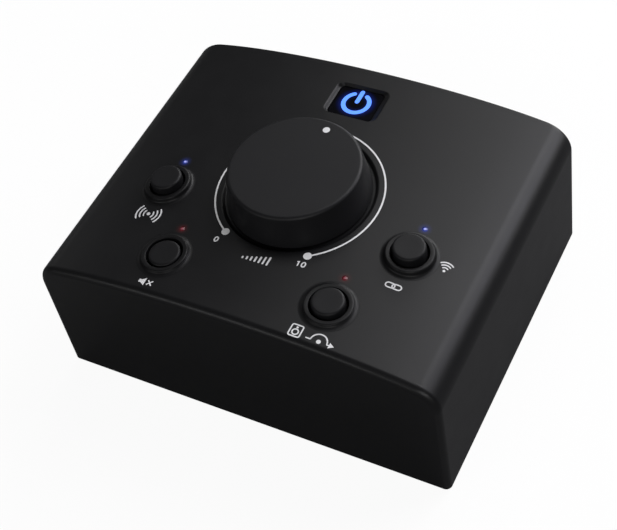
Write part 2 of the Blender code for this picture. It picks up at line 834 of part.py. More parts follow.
def make_power_switch(panel):
    """A small panel rocker switch: housing with its pocket, and the rocker tilted to one end."""
    centre = switch_centre()
    body = along_y(box(housing_width, housing_height, -housing_length, gap + housing_flange_thickness / 2))
    housing = stand("power_switch_housing", body, black_plastic, centre)
    width = housing_width + 2 * housing_flange
    height = housing_height + 2 * housing_flange
    flange = along_y(box(width, height, gap, gap + housing_flange_thickness))
    fuse(housing, stand("housing_flange_tool", flange, None, centre))
    pocket_width = 2 * (rocker_reach + gap)
    pocket = along_y(box(pocket_width, rocker_height + 2 * gap, housing_wall - housing_length, overrun))
    cut(housing, stand("rocker_pocket_tool", pocket, None, centre))
    carry(panel, housing)
    pivot_y = reach_y - rocker_reach * math.sin(math.pi / 4)
    make_rocker((centre[0], pivot_y, centre[2]))


def make_rocker(pivot):
    """The rocker is a shallow V outside and a block inside, on an upright pivot."""
    side = rocker_half_length
    crest = rocker_crest
    outline = [(side, crest), (0, crest / 2), (-side, crest), (-side, -crest), (side, -crest)]
    block = prism(outline, -rocker_height / 2, rocker_height / 2)
    stand("power_rocker", block, black_plastic, pivot, (0, 0, rocker_tilt))


def main():
    clear_scene()
    make_top_shell()
    make_base_plate()
    panel = make_rear_panel()
    make_feet()
    make_casing_screws()
    control_board = make_control_board()
    main_board = make_main_board()
    make_ribbon()
    make_pot(control_board)
    make_pot_nut()
    make_volume_knob()
    for name, x, y, stand_height, collar_height in button_places():
        make_button(name, x, y, stand_height, collar_height, control_board)
        look = blue_light if stand_height == upper_button_stand else red_light
        make_light(name, x, y, look, control_board)
    make_window(control_board)
    for name in output_names:
        make_output_jack(name, socket_places()[name], main_board)
    make_phono_pair(main_board)
    make_aux_jack(main_board)
    make_dc_inlet(main_board)
    make_power_switch(panel)


main()
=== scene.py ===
import math

import bmesh
import bpy
from mathutils import Matrix, Vector
from mathutils.geometry import delaunay_2d_cdt


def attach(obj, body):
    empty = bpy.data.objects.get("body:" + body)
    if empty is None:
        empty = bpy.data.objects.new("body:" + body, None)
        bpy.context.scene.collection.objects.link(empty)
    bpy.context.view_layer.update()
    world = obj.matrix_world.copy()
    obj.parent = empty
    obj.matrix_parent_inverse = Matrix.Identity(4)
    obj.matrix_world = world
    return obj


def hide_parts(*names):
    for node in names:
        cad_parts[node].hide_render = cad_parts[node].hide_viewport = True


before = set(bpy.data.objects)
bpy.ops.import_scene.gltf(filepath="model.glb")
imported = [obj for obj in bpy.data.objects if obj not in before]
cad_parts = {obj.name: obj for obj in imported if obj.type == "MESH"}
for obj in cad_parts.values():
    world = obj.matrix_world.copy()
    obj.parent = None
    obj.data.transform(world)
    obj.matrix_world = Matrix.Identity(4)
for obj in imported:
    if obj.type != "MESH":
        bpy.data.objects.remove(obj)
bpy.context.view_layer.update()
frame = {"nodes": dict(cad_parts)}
nodes = frame["nodes"]
print("frame loaded:", len(nodes), "nodes")

mm = 0.001
knobY = -3.25
turn = 2 * math.pi


# Camera

viewpoint = {
    "place": (172.3, -235.95, 370.7),
    "right": (0.8839, 0.4440, -0.1471),
    "down": (0.2677, -0.7381, -0.6193),
    "ahead": (-0.3836, 0.5080, -0.7712),
    "lens": 79.19,  # on a 36 mm sensor
}


def makeCamera():
    lens = bpy.data.cameras.new("studioCamera")
    lens.lens = viewpoint["lens"]
    lens.sensor_width = 36.0
    lens.clip_start = 0.01
    lens.clip_end = 20.0
    camera = bpy.data.objects.new("studioCamera", lens)
    bpy.context.collection.objects.link(camera)
    axes = Matrix((viewpoint["right"], -Vector(viewpoint["down"]), -Vector(viewpoint["ahead"]))).transposed()
    camera.rotation_mode = "QUATERNION"
    camera.rotation_quaternion = axes.to_quaternion().normalized()
    camera.location = Vector(viewpoint["place"]) * mm
    bpy.context.scene.camera = camera


# Shader sockets with arithmetic

class Wire:
    def __init__(self, paint, socket):
        self.paint = paint
        self.socket = socket

    def math(self, operation, *others):
        return self.paint.node("Math", {"operation": operation}, [self, *others])

    def reflected(self, operation, other):
        return self.paint.node("Math", {"operation": operation}, [other, self])

    def __add__(self, other):
        return self.math("ADD", other)

    def __sub__(self, other):
        return self.math("SUBTRACT", other)

    def __rsub__(self, other):
        return self.reflected("SUBTRACT", other)

    def __mul__(self, other):
        return self.math("MULTIPLY", other)

    def __truediv__(self, other):
        return self.math("DIVIDE", other)

    def __rtruediv__(self, other):
        return self.reflected("DIVIDE", other)

    def __pow__(self, other):
        return self.math("POWER", other)

    def __rpow__(self, other):
        return self.reflected("POWER", other)

    __radd__ = __add__
    __rmul__ = __mul__

    def between(self, low, high):
        links = {"Value": self, "From Min": low, "From Max": high}
        return self.paint.node("MapRange", {"interpolation_type": "SMOOTHSTEP"}, links)

    def other(self, out):
        # another output of the same node
        return Wire(self.paint, self.socket.node.outputs[out])


class Nodes:
    # one node tree, and the method that every node in it comes from
    def __init__(self, tree):
        self.tree = tree

    def put(self, socket, value):
        if isinstance(value, Wire):
            self.tree.links.new(value.socket, socket)
        elif socket.type == "RGBA":
            socket.default_value = (*value[:3], 1.0)
        else:
            socket.default_value = value

    def node(self, kind, settings=None, links=None, out=0):
        made = self.tree.nodes.new("ShaderNode" + kind)
        for key, value in (settings or {}).items():
            setattr(made, key, value)
        pairs = links.items() if isinstance(links, dict) else enumerate(links or [])
        for key, value in pairs:
            self.put(made.inputs[key], value)
        return Wire(self, made.outputs[out])


class Paint(Nodes):
    # one material; set() feeds the Principled shader's own sockets
    def __init__(self, name, colour, rough, metallic=0.0, specular=0.5):
        self.material = bpy.data.materials.new(name)
        self.material.use_nodes = True
        super().__init__(self.material.node_tree)
        self.shader = self.tree.nodes["Principled BSDF"]
        self.shader.inputs["Specular IOR Level"].default_value = specular
        self.set("Base Color", colour)
        self.set("Roughness", rough)
        self.set("Metallic", metallic)

    def set(self, name, value):
        self.put(self.shader.inputs[name], value)

    def place(self):
        return self.node("TexCoord", out=3)

    def noise(self, size, detail=3.0, rough=0.5):
        # size is the grain's rough spacing in millimetres
        links = {"Vector": self.place(), "Scale": 1 / (size * mm), "Detail": detail, "Roughness": rough}
        return self.node("TexNoise", None, links)

    def blend(self, factor, first, second, way="MIX"):
        return self.node("Mix", {"data_type": "RGBA", "blend_type": way}, {0: factor, 6: first, 7: second}, 2)

    def bump(self, height, depth):
        # depth is the relief's real height in millimetres
        links = {"Strength": 1.0, "Distance": depth * mm, "Height": height}
        self.set("Normal", self.node("Bump", None, links))

    def apart(self):
        # the object coordinates as three separate values, in millimetres
        parts = self.node("SeparateXYZ", None, [self.place()])
        return [parts.other(i) * 1000.0 for i in range(3)]


def shade(colour, factor):
    return tuple(c * factor for c in colour)


# Moulded plastic: spark-eroded grain, soft patches of gloss and a little colour drift.
def mouldedPlastic(name, colour, rough, grain=0.16, relief=0.004, specular=0.5):
    paint = Paint(name, colour, rough, specular=specular)
    fine = paint.noise(grain, 4.0, 0.6)
    broad = paint.noise(9.0, 2.0)
    paint.set("Roughness", broad * 0.06 + fine * 0.05 + (rough - 0.055))
    paint.set("Base Color", paint.blend(broad, shade(colour, 0.88), shade(colour, 1.12)))
    paint.bump(fine, relief)
    return paint


# Drawn or plated metal: fine straight grain, with a trace of tarnish.
def grainedMetal(name, colour, rough, stretch=(1, 30, 30), size=2.0):
    paint = Paint(name, colour, rough, metallic=1.0)
    spread = paint.node("Mapping", None, {"Vector": paint.place(), "Scale": stretch})
    grain = paint.node("TexNoise", None, {"Vector": spread, "Scale": 1 / (size * mm), "Detail": 4.0})
    stain = paint.noise(6.0, 3.0)
    paint.set("Roughness", grain * 0.16 + stain * 0.08 + (rough - 0.12))
    paint.set("Base Color", paint.blend(stain, shade(colour, 0.86), colour))
    paint.bump(grain, 0.004)
    return paint


# Powder coat: orange-peel ripple over black.
def powderCoat(name, colour, rough):
    paint = Paint(name, colour, rough)
    peel = paint.noise(0.5, 2.0)
    broad = paint.noise(12.0, 2.0)
    paint.set("Roughness", peel * 0.12 + broad * 0.06 + (rough - 0.09))
    paint.set("Base Color", paint.blend(broad, shade(colour, 0.85), shade(colour, 1.15)))
    paint.bump(peel, 0.02)
    return paint


def rubberPaint():
    paint = Paint("softRubber", (0.012, 0.012, 0.012), 0.8)
    speck = paint.noise(0.3, 4.0, 0.7)
    paint.set("Roughness", speck * 0.2 + 0.68)
    paint.set("Base Color", paint.blend(speck, (0.008, 0.008, 0.008), (0.022, 0.022, 0.021)))
    paint.bump(speck, 0.02)
    return paint


# Circuit board: solder mask over fine tracks, with a weave just showing.
def boardPaint():
    paint = Paint("boardMask", (0.012, 0.10, 0.035), 0.35)
    links = {"Vector": paint.place(), "Scale": 160.0, "Mortar Size": 0.04,
             "Color1": (0, 0, 0), "Color2": (0.25, 0.25, 0.25), "Mortar": (1, 1, 1)}
    tracks = paint.node("TexBrick", {"offset": 0.37, "squash": 1.0}, links, 1)
    weave = paint.noise(0.4, 2.0)
    paint.set("Base Color", paint.blend(tracks, (0.008, 0.085, 0.028), (0.03, 0.16, 0.06)))
    paint.set("Roughness", weave * 0.15 + 0.28)
    paint.bump(tracks, 0.03)
    return paint


# Ribbed grey cable: the ribs are in relief, and the grooves between them are painted darker as painted shade.
def ribbonPaint():
    paint = Paint("ribbedCable", (0.32, 0.32, 0.33), 0.55)
    x = paint.apart()[0]
    rib = (x * (turn / 1.27)).math("SINE") * 0.5 + 0.5
    paint.set("Base Color", paint.blend(rib, (0.22, 0.22, 0.23), (0.36, 0.36, 0.37)))
    paint.bump(rib, 0.25)
    return paint


# Lit only above the given height, so that a pipe's hidden length stays dark.
def litPaint(name, colour, strength, above=0.0):
    paint = Paint(name, shade(colour, 0.3), 0.25)
    height = paint.apart()[2]
    glow = (paint.noise(0.8, 1.0) * 0.15 + 0.9) * height.between(above, above + 0.6)
    paint.set("Emission Color", paint.blend(glow, (0, 0, 0), colour))
    paint.shader.inputs["Emission Strength"].default_value = strength
    return paint


def printPaint():
    paint = Paint("screenPrint", (0.62, 0.62, 0.62), 0.45)
    ink = paint.noise(0.12, 3.0, 0.7)
    paint.set("Base Color", paint.blend(ink, (0.52, 0.52, 0.53), (0.70, 0.70, 0.70)))
    paint.bump(ink, 0.003)
    return paint


# Meshes

def plainMesh(name, points, faces):
    mesh = bpy.data.meshes.new(name)
    mesh.from_pydata([tuple(c * mm for c in p) for p in points], [], faces)
    return mesh


def makeMesh(name, points, faces, paint, slot, body="casing", smoothAngle=30):
    return makeObject(name, plainMesh(name, points, faces), paint, body, smoothAngle)


# Faces are turned outward, after doubled points are joined where join is set.
def cleaned(mesh, join=False):
    work = bmesh.new()
    work.from_mesh(mesh)
    if join:
        bmesh.ops.remove_doubles(work, verts=work.verts, dist=1e-6)
    bmesh.ops.recalc_face_normals(work, faces=work.faces)
    work.to_mesh(mesh)
    work.free()


def smoothShade(mesh, angle=30):
    mesh.shade_smooth()
    mesh.set_sharp_from_angle(angle=math.radians(angle))


def makeObject(name, mesh, paint, body, smoothAngle=30):
    piece = bpy.data.objects.new(name, mesh)
    bpy.context.collection.objects.link(piece)
    cleaned(mesh)
    smoothShade(mesh, smoothAngle)
    if paint:
        mesh.materials.clear()
        mesh.materials.append(paint.material)
    if body:
        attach(piece, body)
    return piece


# Joins the seam of a closed turned profile.
def weld(piece):
    cleaned(piece.data, True)
    smoothShade(piece.data)


def evenNormals(piece):
    step = piece.modifiers.new("evenNormals", "WEIGHTED_NORMAL")
    step.keep_sharp = True
    step.weight = 50


# Rows of (radius, height) turned about an upright axis, in lists ready for makeMesh.
def turnedParts(profile, steps, centre=(0, 0, 0), follow=None):
    points, rows, faces = [], [], []
    for radius, height in profile:
        row = []
        for i in range(steps if radius else 1):
            a = turn * i / steps
            x = centre[0] + radius * math.cos(a)
            y = centre[1] + radius * math.sin(a)
            z = centre[2] + height + (follow(x) if follow else 0)
            row.append(len(points))
            points.append((x, y, z))
        rows.append(row)
    for low, high in zip(rows, rows[1:]):
        for i in range(steps):
            j = (i + 1) % steps
            corner = [low[i % len(low)], low[j % len(low)], high[j % len(high)], high[i % len(high)]]
            face = list(dict.fromkeys(corner))
            if len(face) > 2:
                faces.append(face)
    return points, faces


def arcPoints(cx, cz, radius, startDegrees, endDegrees, steps):
    angles = [math.radians(startDegrees + (endDegrees - startDegrees) * i / steps) for i in range(steps + 1)]
    return [(cx + radius * math.cos(a), cz + radius * math.sin(a)) for a in angles]


def addParts(parts, extra):
    points, faces = parts
    start = len(points)
    points.extend(extra[0])
    faces.extend([[i + start for i in f] for f in extra[1]])


def movedParts(parts, move):
    return [move(p) for p in parts[0]], parts[1]


def rearward(centre):
    # turns a piece made along +Z to point along +Y, then sets it at centre
    return lambda p: (centre[0] + p[0], centre[1] + p[2], centre[2] - p[1])


def turnedRear(profile, steps, centre):
    return movedParts(turnedParts(profile, steps), rearward(centre))


# The faces of a closed form made of rings with equal numbers of points, ends included.
def loftFaces(count, rings):
    faces = []
    for r in range(rings - 1):
        for i in range(count):
            j = (i + 1) % count
            faces.append([r * count + i, r * count + j, (r + 1) * count + j, (r + 1) * count + i])
    last = (rings - 1) * count
    return faces + [list(range(count))[::-1], list(range(last, last + count))]


def prismParts(outline, low, high):
    return [(x, y, z) for z in (low, high) for x, y in outline], loftFaces(len(outline), 2)


def roundedOutline(width, length, radius, steps=8):
    points = []
    for corner, (sx, sy) in enumerate(((1, 1), (-1, 1), (-1, -1), (1, -1))):
        for i in range(steps + 1):
            a = math.pi / 2 * (corner + i / steps)
            points.append((sx * (width / 2 - radius) + radius * math.cos(a),
                           sy * (length / 2 - radius) + radius * math.sin(a)))
    return points


# A rounded block: its top and bottom rims are softened by a small round.
def softBlockParts(width, length, low, high, corner, soft, steps=4):
    rows = []
    for z, side in ((low, 1), (high, -1)):
        arc = []
        for i in range(steps + 1):
            a = math.pi / 2 * i / steps
            arc.append((soft * (1 - math.sin(a)), z + side * soft * (1 - math.cos(a))))
        rows += arc if side > 0 else arc[::-1]
    points = []
    for inset, z in rows:
        ring = roundedOutline(width - 2 * inset, length - 2 * inset, max(corner - inset, 0.05))
        points += [(x, y, z) for x, y in ring]
    return points, loftFaces(len(points) // len(rows), len(rows))


# Boolean steps are worked out at once, so that no tool stays in the scene.
def carve(piece, steps):
    for operation, parts in steps:
        tool = makeMesh("tool", *parts, None, None, None)
        step = piece.modifiers.new("carve", "BOOLEAN")
        step.operation = operation
        step.solver = "EXACT"
        step.object = tool
        bpy.context.view_layer.update()
        mesh = bpy.data.meshes.new_from_object(piece.evaluated_get(bpy.context.evaluated_depsgraph_get()))
        piece.modifiers.clear()
        old = piece.data
        paint = old.materials[0] if old.materials else None
        piece.data = mesh
        bpy.data.meshes.remove(old)
        bpy.data.objects.remove(tool)
        mesh.materials.clear()
        if paint:
            mesh.materials.append(paint)
    smoothShade(piece.data)


# The case

case = {
    "halfWidth": 70.0, "frontY": -57.25, "rearY": 52.75, "lowZ": 2.0, "highZ": 57.0, "wall": 2.5,
    "crownDrop": 6.52, "crownEdge": 0.25, "sideRound": 8.5, "cornerRound": 2.0, "frontRound": 2.4,
    "frontLean": 1.1, "frontLeanReach": 9, "sideLean": 0.5, "sideLeanFrom": 52, "sideLeanReach": 12,
    "crownSteps": 62, "roundSteps": 18, "cornerSteps": 14, "lengthSteps": 25,
    "colour": (0.0052, 0.0052, 0.0057), "rough": 0.40, "specular": 0.21,
}
recess = {"radius": 24.45, "depth": 1.3, "soft": 0.8}
window = {
    "y": 37.95, "width": 16.1, "length": 13.4, "corner": 1.7, "depth": 1.05,
    "leftSlope": 1.25, "rightSlope": 2.1, "endSlope": 0.6, "paneLow": 53.1,
}
# each button's X, Y, cap stand and collar height
buttons = {
    "wireless": (-42.8, -14.25, 4.5, 1.9), "pair": (42.8, -14.25, 4.5, 1.9),
    "mute": (-28.45, -40.45, 1.1, 1.1), "sub_bypass": (28.45, -40.45, 2.7, 1.1),
}
# each pair of posts under the top: X either way, Y, radius, foot and steps round
posts = ((59, -46.25, 3.5, 3.8, 28), (59, 47.15, 3.5, 3.8, 28), (50, 26.75, 2.8, 42.8, 24))
lampBehind = 11.0
# halo and redHalo set the painted glow on the case's plastic round each light
lamp = {"foot": 44.2, "radius": 0.8, "core": 0.42, "reach": 2.7, "halo": 0.2, "redHalo": 0.09,
        "blue": (0.10, 0.17, 1.0), "red": (0.75, 0.06, 0.07)}


def crown(x):
    t = abs(x) / case["halfWidth"]
    return case["highZ"] - case["crownDrop"] * ((1 - case["crownEdge"]) * t ** 2 + case["crownEdge"] * t ** 4)


def crownLean(x):
    t = x / case["halfWidth"]
    rise = 2 * (1 - case["crownEdge"]) * t + 4 * case["crownEdge"] * t ** 3
    return math.atan(rise * case["crownDrop"] / case["halfWidth"])


def smooth(t):
    t = min(max(t, 0.0), 1.0)
    return t * t * t * (t * (6 * t - 15) + 10)


# The case's outline across its width: up the right wall, over the crown, down the left.
def caseSection(half, inset, low, across, around):
    bend = max(case["sideRound"] - inset, 1.0)
    middle = half - bend
    tangent = middle
    for _ in range(10):
        lean = crownLean(tangent)
        tangent = middle + bend * math.sin(lean)
    height = crown(tangent) - inset - bend * math.cos(lean)
    right = [(half, low)]
    for i in range(around):
        a = (math.pi / 2 - lean) * i / around
        right.append((middle + bend * math.cos(a), height + bend * math.sin(a)))
    top = []
    for i in range(across + 1):
        x = tangent * (1 - 2 * i / across)
        top.append((x, crown(x) - inset))
    return right + top + [(-x, z) for x, z in reversed(right)], tangent


def topHeight(x, y):
    z = crown(x)
    r = math.hypot(x, y - knobY)
    if r < recess["radius"] + recess["soft"]:
        w = smooth((r - recess["radius"] + recess["soft"]) / (2 * recess["soft"]))
        z = (case["highZ"] - recess["depth"]) * (1 - w) + z * w
    return z


def windowRing(t, push=0.0):
    # t runs from the window's opening to its outer lip
    left, right, end = (window[k] * t + push for k in ("leftSlope", "rightSlope", "endSlope"))
    outline = roundedOutline(window["width"] + left + right, window["length"] + 2 * end,
                             window["corner"] + (left + end) * 0.7)
    return [(x + (right - left) / 2, window["y"] + y) for x, y in outline]


# the top's holes, and how far its even grid keeps from each centre
net = {"shaftHole": 4.8, "knobClear": 28.8, "collarHole": 7.2, "collarClear": 11.3, "lampHole": 0.95,
       "lampClear": 2.2, "spacing": 2, "pitDepth": 6.5}


# The top as a fine net of triangles: rings round every feature, an even grid between them.
def topPatch(xs, ys):
    points, edges, heights = [], [], []
    holes, zones = [], []

    def addLoop(loop, drop=None):
        start = len(points)
        for x, y in loop:
            points.append(Vector((x, y)))
            heights.append(drop)
        edges.extend((start + i, start + (i + 1) % len(loop)) for i in range(len(loop)))

    border = [(x, ys[0]) for x in xs[:-1]] + [(xs[-1], y) for y in ys[:-1]]
    border += [(x, ys[-1]) for x in reversed(xs[1:])] + [(xs[0], y) for y in reversed(ys[1:])]
    addLoop(border)
    soft = recess["soft"]
    addLoop(discShape(0, knobY, net["shaftHole"], 40))
    holes.append((0, knobY, net["shaftHole"]))
    for radius, steps in ((8, 40), (13, 60), (18, 90), (21.5, 120), (23, 140)):
        addLoop(discShape(0, knobY, radius, steps))
    for i in range(-6, 7):
        addLoop(discShape(0, knobY, recess["radius"] + soft * i / 6, 176))
    for radius, steps in ((25.9, 176), (26.9, 140), (28.1, 110)):
        addLoop(discShape(0, knobY, radius, steps))
    zones.append((0, knobY, net["knobClear"]))
    for x, y, _, _ in buttons.values():
        for radius, steps in ((net["collarHole"], 60), (8.2, 60), (9.3, 54), (10.4, 48)):
            addLoop(discShape(x, y, radius, steps))
        holes.append((x, y, net["collarHole"]))
        zones.append((x, y, net["collarClear"]))
        for radius in (net["lampHole"], 1.15, 1.5):
            addLoop(discShape(x, y + lampBehind, radius, 20))
        holes.append((x, y + lampBehind, net["lampHole"]))
        zones.append((x, y + lampBehind, net["lampClear"]))
    for t in (0, 0.06, 0.16, 0.3, 0.45, 0.6, 0.74, 0.86, 0.95, 1.0):
        w = 0.55 * t + 0.45 * smooth(t)
        addLoop(windowRing(t), window["depth"] * (1 - w))
    for push in (0.35, 1.0):
        addLoop(windowRing(1.0, push))
    asideX, asideY = window["width"] / 2 + 3.8, window["length"] / 2 + 2.4
    for gx in range(int(xs[0]) + 1, int(xs[-1]), net["spacing"]):
        for gy in range(int(ys[0]) + 1, int(ys[-1]), net["spacing"]):
            clear = all(math.hypot(gx - zx, gy - zy) > reach for zx, zy, reach in zones)
            outside = abs(gx) > asideX or abs(gy - window["y"]) > asideY
            if clear and outside and xs[0] + 1 < gx < xs[-1] - 1 and ys[0] + 1 < gy < ys[-1] - 1:
                points.append(Vector((gx, gy)))
                heights.append(None)
    flat, _, triangles, origins, _, _ = delaunay_2d_cdt(points, edges, [], 0, 1e-5)
    made = []
    for p, source in zip(flat, origins):
        drop = heights[source[0]] if source else None
        z = crown(p.x) - drop if drop is not None else topHeight(p.x, p.y)
        made.append((p.x, p.y, z))
    kept = []
    halfW, halfL = window["width"] / 2 - 0.02, window["length"] / 2 - 0.02
    for face in triangles:
        cx = sum(flat[i].x for i in face) / 3
        cy = sum(flat[i].y for i in face) / 3
        inWindow = abs(cx) < halfW and abs(cy - window["y"]) < halfL
        if inWindow:
            qx = max(abs(cx) - (halfW - window["corner"]), 0)
            qy = max(abs(cy - window["y"]) - (halfL - window["corner"]), 0)
            inWindow = math.hypot(qx, qy) < window["corner"]
        if not inWindow and all(math.hypot(cx - hx, cy - hy) > reach * 0.998 for hx, hy, reach in holes):
            kept.append(list(face))
    return made, kept


def makeCase(paint):
    half, front, back = case["halfWidth"], case["frontY"], case["rearY"]
    corner, lip = case["cornerRound"], case["frontRound"]
    across, around = case["crownSteps"], case["roundSteps"]
    steps = []
    reach = max(corner, lip)
    for i in range(case["cornerSteps"] + 1):
        setback = reach * (1 - math.cos(math.pi / 2 * i / case["cornerSteps"]))
        steps.append((setback, corner - math.sqrt(corner ** 2 - max(corner - setback, 0) ** 2)))
    rings = []
    for setback, narrowing in steps:
        rim = max(lip - setback, 0)
        drop = lip - math.sqrt(lip ** 2 - rim ** 2)
        section, _ = caseSection(half - narrowing, 0, case["lowZ"], across, around)
        rings.append([(x, front + setback, z - (drop if z > case["lowZ"] else 0)) for x, z in section])
    section, tangent = caseSection(half, 0, case["lowZ"], across, around)
    count = case["lengthSteps"]
    ys = [front + reach + (back - front - 2 * reach) * i / count for i in range(count + 1)]
    for y in ys[1:]:
        rings.append([(x, y, z) for x, z in section])
    for setback, narrowing in list(reversed(steps))[1:]:
        section, _ = caseSection(half - narrowing, 0, case["lowZ"], across, around)
        rings.append([(x, back - setback, z) for x, z in section])
    width = len(rings[0])
    points = [p for ring in rings for p in ring]
    faces = [list(range(width)), list(range(len(points) - width, len(points)))[::-1]]
    firstMiddle = len(steps) - 1
    topStart, topEnd = 1 + around, 1 + around + across
    for r in range(len(rings) - 1):
        for c in range(width - 1):
            if firstMiddle <= r < firstMiddle + count and topStart <= c < topEnd:
                continue
            a = r * width + c
            faces.append([a, a + 1, a + width + 1, a + width])
    foot = [r * width for r in range(len(rings))]
    faces.append(foot + [i + width - 1 for i in reversed(foot)])
    xs = sorted(tangent * (1 - 2 * i / across) for i in range(across + 1))
    addParts((points, faces), topPatch(xs, ys))
    # the front and side walls lean in a little towards the top
    for i, (x, y, z) in enumerate(points):
        rise = (z - case["lowZ"]) / (case["highZ"] - case["lowZ"])
        lean = case["sideLean"] * smooth((abs(x) - case["sideLeanFrom"]) / case["sideLeanReach"]) * rise
        near = 1 - smooth((y - front - reach) / case["frontLeanReach"])
        points[i] = (x - math.copysign(lean, x), y + case["frontLean"] * near * rise, z)
    mesh = plainMesh("caseShell", points, faces)
    work = bmesh.new()
    work.from_mesh(mesh)
    bmesh.ops.remove_doubles(work, verts=work.verts, dist=1e-6)
    # every opening in the top becomes a deep pit, which the hollow inside then opens
    rims = [e for e in work.edges if e.is_boundary]
    made = bmesh.ops.extrude_edge_only(work, edges=rims)
    for v in made["geom"]:
        if isinstance(v, bmesh.types.BMVert):
            v.co.z -= net["pitDepth"] * mm
    ends = [e for e in made["geom"] if isinstance(e, bmesh.types.BMEdge)]
    bmesh.ops.edgeloop_fill(work, edges=[e for e in ends if e.is_boundary])
    work.to_mesh(mesh)
    work.free()
    shell = makeObject("caseShell", mesh, paint, "casing")
    wall = case["wall"]
    inner, _ = caseSection(half - wall, wall, case["lowZ"] - 4, 40, 10)
    hollow = [(x, y, z) for y in (front + wall, back + 4) for x, z in inner]
    steps = [("DIFFERENCE", (hollow, loftFaces(len(inner), 2)))]
    made = ([], [])
    for x, y, radius, low, around in posts:
        high = crown(x) - 1.2
        for side in (-1, 1):
            ring = [(0, low), (radius, low), (radius, high), (0, high)]
            addParts(made, turnedParts(ring, around, (side * x, y, 0)))
    carve(shell, steps + [("UNION", made)])
    evenNormals(shell)
    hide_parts("top_shell")
    print("case:", len(shell.data.polygons), "faces")


# Painted glow: the case's plastic is given a faint emission round each indicator light, a painted halo
# standing in for the lights' bloom.
def casePaint():
    paint = mouldedPlastic("casePlastic", case["colour"], case["rough"], specular=case["specular"])
    x, y, _ = paint.apart()
    total = None
    for name, (bx, by, _, _) in buttons.items():
        dx, dy = x - bx, y - (by + lampBehind)
        away = (dx * dx + dy * dy).math("SQRT")
        fall = (1 - away / lamp["reach"]).math("MAXIMUM", 0.0) ** 2.0
        bright = name in ("wireless", "pair")
        colour = shade(lamp["blue"], lamp["halo"]) if bright else shade(lamp["red"], lamp["redHalo"])
        glow = paint.blend(fall, (0, 0, 0), colour)
        total = paint.blend(1.0, total, glow, "ADD") if total else glow
    paint.set("Emission Color", total)
    paint.shader.inputs["Emission Strength"].default_value = 1.0
    return paint


# The volume knob

knob = {
    "topRadius": 21.5, "footRadius": 23.2, "footZ": 56.25, "topZ": 68.08, "rimRound": 1.25, "footRound": 0.5,
    "steps": 200, "colour": (0.0056, 0.0056, 0.0064), "rough": 0.5, "specular": 0.2,
    "dotRadius": 1.2, "dotReach": 17.3, "dotAngle": 9.3, "dotFoot": 67.75,
    "shaftRadius": 3.3, "shaftTop": 66.5, "nutRadius": 6.85, "nutTop": 61.2,
}


def makeKnob(paint, ink):
    k = knob
    bend = k["footRound"]
    profile = [(0, k["shaftTop"]), (k["shaftRadius"], k["shaftTop"]), (k["shaftRadius"], k["nutTop"])]
    profile += [(k["nutRadius"], k["nutTop"]), (k["nutRadius"], k["footZ"])]
    profile += arcPoints(k["footRadius"] - bend, k["footZ"] + bend, bend, -90, 0, 5)
    profile += arcPoints(k["topRadius"] - k["rimRound"], k["topZ"] - k["rimRound"], k["rimRound"], 4, 90, 10)
    profile += [(19.5, k["topZ"]), (14, k["topZ"]), (7, k["topZ"]), (0, k["topZ"])]
    parts = turnedParts(profile, k["steps"], (0, knobY, 0))
    body = makeMesh("volumeKnob", *parts, paint, "knob_plastic", "volume")
    evenNormals(body)
    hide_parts("volume_knob")
    a = math.radians(k["dotAngle"])
    centre = (k["dotReach"] * math.sin(a), knobY + k["dotReach"] * math.cos(a), 0)
    rim = [(0, k["dotFoot"]), (k["dotRadius"], k["dotFoot"]), (k["dotRadius"], k["topZ"] - 0.02)]
    rim += [(k["dotRadius"] - 0.05, k["topZ"] + 0.015), (0, k["topZ"] + 0.015)]
    dot = makeMesh("pointerDot", *turnedParts(rim, 40, centre), ink, "pointer_white", "volume")
    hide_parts("knob_pointer")


# Push buttons and their collars

cap = {"radius": 5.2, "draft": 0.06, "depth": 5.5, "rimRound": 0.85, "steps": 96, "stemRadius": 1.8,
       "stemFoot": 45.8, "released": 1.6, "follow": 0.6}
collar = {"foot": 9.2, "rim": 7.65, "bore": 6.0, "inward": 0.03, "round": 0.6, "sweep": 1.0, "edge": 0.03,
          "steps": 96, "skirt": 1.8}


def makeButtons(capPaint, collarPaint):
    for name, (x, y, stand, height) in buttons.items():
        top = crown(x) + stand
        low = top - cap["depth"]
        foot = cap["stemFoot"] + (cap["released"] if name == "sub_bypass" else 0)
        radius, stem, bend = cap["radius"], cap["stemRadius"], cap["rimRound"]
        profile = [(0, foot), (stem, foot), (stem, low), (radius + cap["draft"], low)]
        profile += arcPoints(radius - bend, top - bend, bend, 0, 90, 8)
        profile += [(3.2, top - 0.03), (1.6, top - 0.05), (0, top - 0.05)]
        slope = math.tan(crownLean(x)) * cap["follow"]  # the cap's top leans a little with the crown
        turned = turnedParts(profile, cap["steps"], (x, y, 0), lambda px: slope * (x - px))
        piece = makeMesh(name + "Cap", *turned, capPaint, "knob_plastic", name)
        evenNormals(piece)
        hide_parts(name + "_button")
        c = collar
        lip = height - c["inward"]
        ring = [(c["bore"], -c["skirt"]), (c["bore"], lip - 0.2)]
        ring += arcPoints(c["bore"] + 0.2, lip - 0.2, 0.2, 180, 95, 5)
        ring += arcPoints(c["rim"] - c["round"], height - c["round"], c["round"], 92, 12, 9)
        sweep = min(c["sweep"], height - 0.45)
        flank = c["foot"] - c["rim"] - 0.1
        for i in range(1, 10):
            a = math.radians(10 * i)
            ring.append((c["foot"] - flank * math.cos(a), sweep - (sweep - c["edge"]) * math.sin(a)))
        ring += [(c["foot"] + 0.05, -0.12), (7.0, -0.12), (6.9, -c["skirt"]), (c["bore"], -c["skirt"])]
        points, faces = turnedParts(ring, c["steps"], (x, y, 0), crown)
        piece = makeMesh(name + "Collar", points, faces, collarPaint, "shell_plastic", "casing")
        weld(piece)
        evenNormals(piece)
        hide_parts(name + "_collar")


